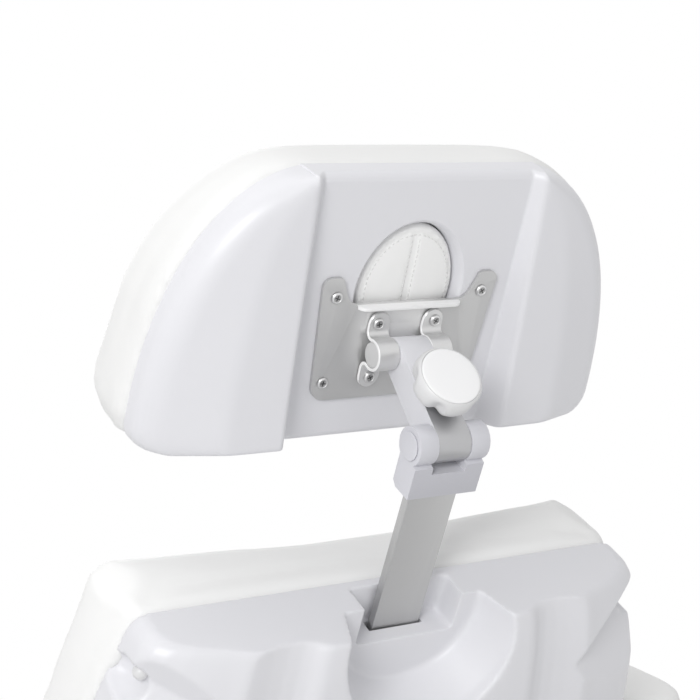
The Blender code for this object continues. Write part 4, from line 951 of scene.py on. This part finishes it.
screwHead = dict(radius=4.9, tall=2.0, shaft=(2, -9.5), dish=1.7, cross=(2.2, 0.45), crossFloor=1.0, crossRound=2.5,
                 crossTop=5, under=0.5, dishDeep=0.55,
                 head=[(0.2, 0), (0, 0.3), (0, 0.8), (0.2, 1.3), (0.6, 1.7), (1.1, 2.0), (1.5, 2.0), (1.8, 1.7),
                       (2.0, 1.6), (4.3, 1.5)],
                 spots=[("plate_ear", 67.5, 22, 3.6), ("plate_low", 65, -52, 3.6), ("strap_top", 26.5, -1, 6.9),
                        ("strap_low", 24.5, -48, 6.9)],
                 firstTurn=0.4, turnStep=0.9)


def screwMesh():
    p = screwHead
    shaft, deep = p["shaft"]
    rows = [(shaft, deep), (shaft, 0)] + [(p["radius"] - inset, w) for inset, w in p["head"]]
    turns = [2 * math.pi * i / 32 for i in range(32)]
    shape = loft([[(reach * math.cos(a) * mm, w * mm, reach * math.sin(a) * mm) for a in turns] for reach, w in rows])
    piece = addPiece("screw", shape, screwSteel)
    floor, above = p["crossFloor"] * mm, p["crossTop"] * mm
    for long, thin in (p["cross"], reversed(p["cross"])):
        cutWith(piece, block((-long * mm, floor, -thin * mm), (long * mm, above, thin * mm)))
    low, dishLow = p["under"] * mm, (p["tall"] - p["dishDeep"]) * mm
    dish, cross = (p["radius"] - p["dish"]) * mm, p["crossRound"] * mm
    # painted shade: darker steel on the top of the head, and darker still in the cross recess
    twoTone(piece, screwTopShade, lambda face: face.center.xz.length < dish and face.center.y > low)
    twoTone(piece, screwRecessShade, lambda face: face.center.xz.length < cross and low < face.center.y < dishLow)
    piece.data.shade_smooth()
    piece.data.set_sharp_from_angle(angle=math.radians(30))
    mesh = piece.data
    bpy.data.objects.remove(piece)
    return mesh


def makeScrews():
    base = screwMesh()
    turn = screwHead["firstTurn"]
    for place, x, v, seat in screwHead["spots"]:
        for side, hand in ((1, "left"), (-1, "right")):
            mesh = base.copy()
            turn += screwHead["turnStep"]
            mesh.transform(headAt @ Matrix.Translation((side * x * mm, seat * mm, v * mm))
                           @ Matrix.Rotation(turn, 4, "Y"))
            piece = bpy.data.objects.new(place + "Screw" + hand.title(), mesh)
            scene.collection.objects.link(piece)
            standFor(piece, place + "_screw_" + hand, slot="dark_steel")
    bpy.data.meshes.remove(base)


makeScrews()


# pegs with a ball end in the side recesses

pegForm = dict(radius=6.4, neck=1.2, foot=214.8, ball=226.4, join=4.4, w=2, v=0, turns=(*range(-40, 78, 13), 86))


def makePegs():
    p = pegForm
    r, ball = p["radius"], p["ball"]
    rows = [(r - p["neck"], p["foot"]), (r - p["neck"], ball - p["join"])]
    rows += [(r * math.cos(math.radians(a)), ball + r * math.sin(math.radians(a))) for a in p["turns"]]
    at = backAt @ Matrix.Translation((0, p["w"] * mm, p["v"] * mm))
    for side, hand in ((1, "left"), (-1, "right")):
        peg = turned("rollPeg" + hand.title(), [(reach, side * x) for reach, x in rows], at, knobWhite)
        standFor(peg, "roll_peg_" + hand, slot="white_abs")


makePegs()


# mounting plate with a rounded lip in painted highlight, link paler on its upper part with painted highlight on its
# side faces, clevis with painted shade on its rear face

lip = dict(half=47.5, out=10.9, round=8.0, face=3.9, start=0.6, rows=(9, 18), past=20, gap=0.1, highlightFrom=0.0045)
link = dict(ease=0.0014, paleFrom=0.027, highlightSideNormal=0.8)
clevis = dict(ease=0.0022, rearNormal=0.75, below=0.014)
inNeck = localOf(neckAt)


def lipTrim():
    p = lip
    far = p["half"] + p["past"]
    side = [(far, p["out"] + p["past"]), (far, p["face"]), (p["half"] + 2 * p["gap"], p["face"])]
    deep = p["out"] - p["face"] - p["start"]
    for a in range(0, 91, 10):
        t = math.radians(a)
        side.append((p["half"] + p["gap"] - p["round"] * (1 - math.cos(t)), p["out"] - deep * (1 - math.sin(t))))
    ring = side + [(-x, w) for x, w in reversed(side)]
    return loft([[headAt @ (Vector((x, w, v)) * mm) for x, w in ring] for v in p["rows"]])


def dressPlate():
    piece = eased("mounting_plate", "mountingPlate", plateSatin, 0.0006, trim=lipTrim())
    # painted highlight on the lip's faces
    twoTone(piece, paintedHighlight, lambda face: inHead(np.array([face.center]))[0, 1] > lip["highlightFrom"])


def dressLink():
    piece = eased("neck_link", "neckLink", linkSatin, link["ease"])
    shape = bmesh.new()
    shape.from_mesh(piece.data)
    bmesh.ops.bisect_plane(shape, geom=[*shape.verts, *shape.edges, *shape.faces], dist=1e-6,
                           plane_co=neckAt @ Vector((0, 0, link["paleFrom"])),
                           plane_no=neckAt.to_3x3() @ Vector((0, 0, 1)))
    shape.to_mesh(piece.data)
    shape.free()
    # painted highlight: the link's side faces are made pale where light falls; faces on its upper part are paler as
    # well
    twoTone(piece, linkPaleAndHighlight, lambda face: abs(face.normal.x) > link["highlightSideNormal"]
            or inNeck(np.array([face.center]))[0, 2] > link["paleFrom"])


def dressClevis():
    piece = eased("clevis", "clevis", clevisPale, clevis["ease"])
    low = neckAt.translation.z - clevis["below"]
    # painted shade: a darker copy of the clevis colour on the flat rear faces below the barrels
    twoTone(piece, clevisPaintedShade, lambda face: face.normal.y > clevis["rearNormal"] and face.center.z < low)


dressPlate()
dressLink()
dressClevis()
eased("lower_hinge_pin", "lowerHingePin", clevisPale, 0.0006)
eased("height_bar", "heightBar", barSatin, 0.0006)


# the other hard pieces

paint(pinSteel, "knob_stud", "recline_axle", "leg_hinge_shaft", "drive_rod", "lift_spindle", "swivel_bearing")
paint(blackMoulded, "bar_guide", "bar_stop", "recline_motor", "lift_motor")
paint(plyBoard, "seat_board", "backrest_panel")
headBoard = eased("headrest_board", "headrestBoard", plyBoard, 0.0008)
boardHole = 3.6  # wider than the face hole, so the shell's mouth hides it
cutWith(headBoard, loft([[headAt @ Vector(point) for point in ovalRing(boardHole, w)] for w in (-60, 60)]))
for node, name, width in (("seat_pan", "seatPan", 0.002), ("armrest_shell_left", "armShellLeft", 0.002),
                          ("armrest_shell_right", "armShellRight", 0.002), ("leg_shell_left", "legShellLeft", 0.0015),
                          ("leg_shell_right", "legShellRight", 0.0015)):
    eased(node, name, shellGrey, width)
for node, name, width in (("seat_frame", "seatFrame", 0.002), ("backrest_frame", "backrestFrame", 0.0012),
                          ("armrest_post_left", "armPostLeft", 0.002), ("armrest_post_right", "armPostRight", 0.002),
                          ("leg_arm_left", "legArmLeft", 0.0015), ("leg_arm_right", "legArmRight", 0.0015),
                          ("base_plate", "basePlate", 0.002), ("column_middle", "columnMiddle", 0.001),
                          ("column_inner", "columnInner", 0.001)):
    eased(node, name, powderGrey, width)
eased("base_cover", "baseCover", coverWhite, 0.002)
eased("column_outer", "columnOuter", coverWhite, 0.001)
eased("mains_inlet", "mainsInlet", blackMoulded, 0.0008)
print("hard pieces dressed")
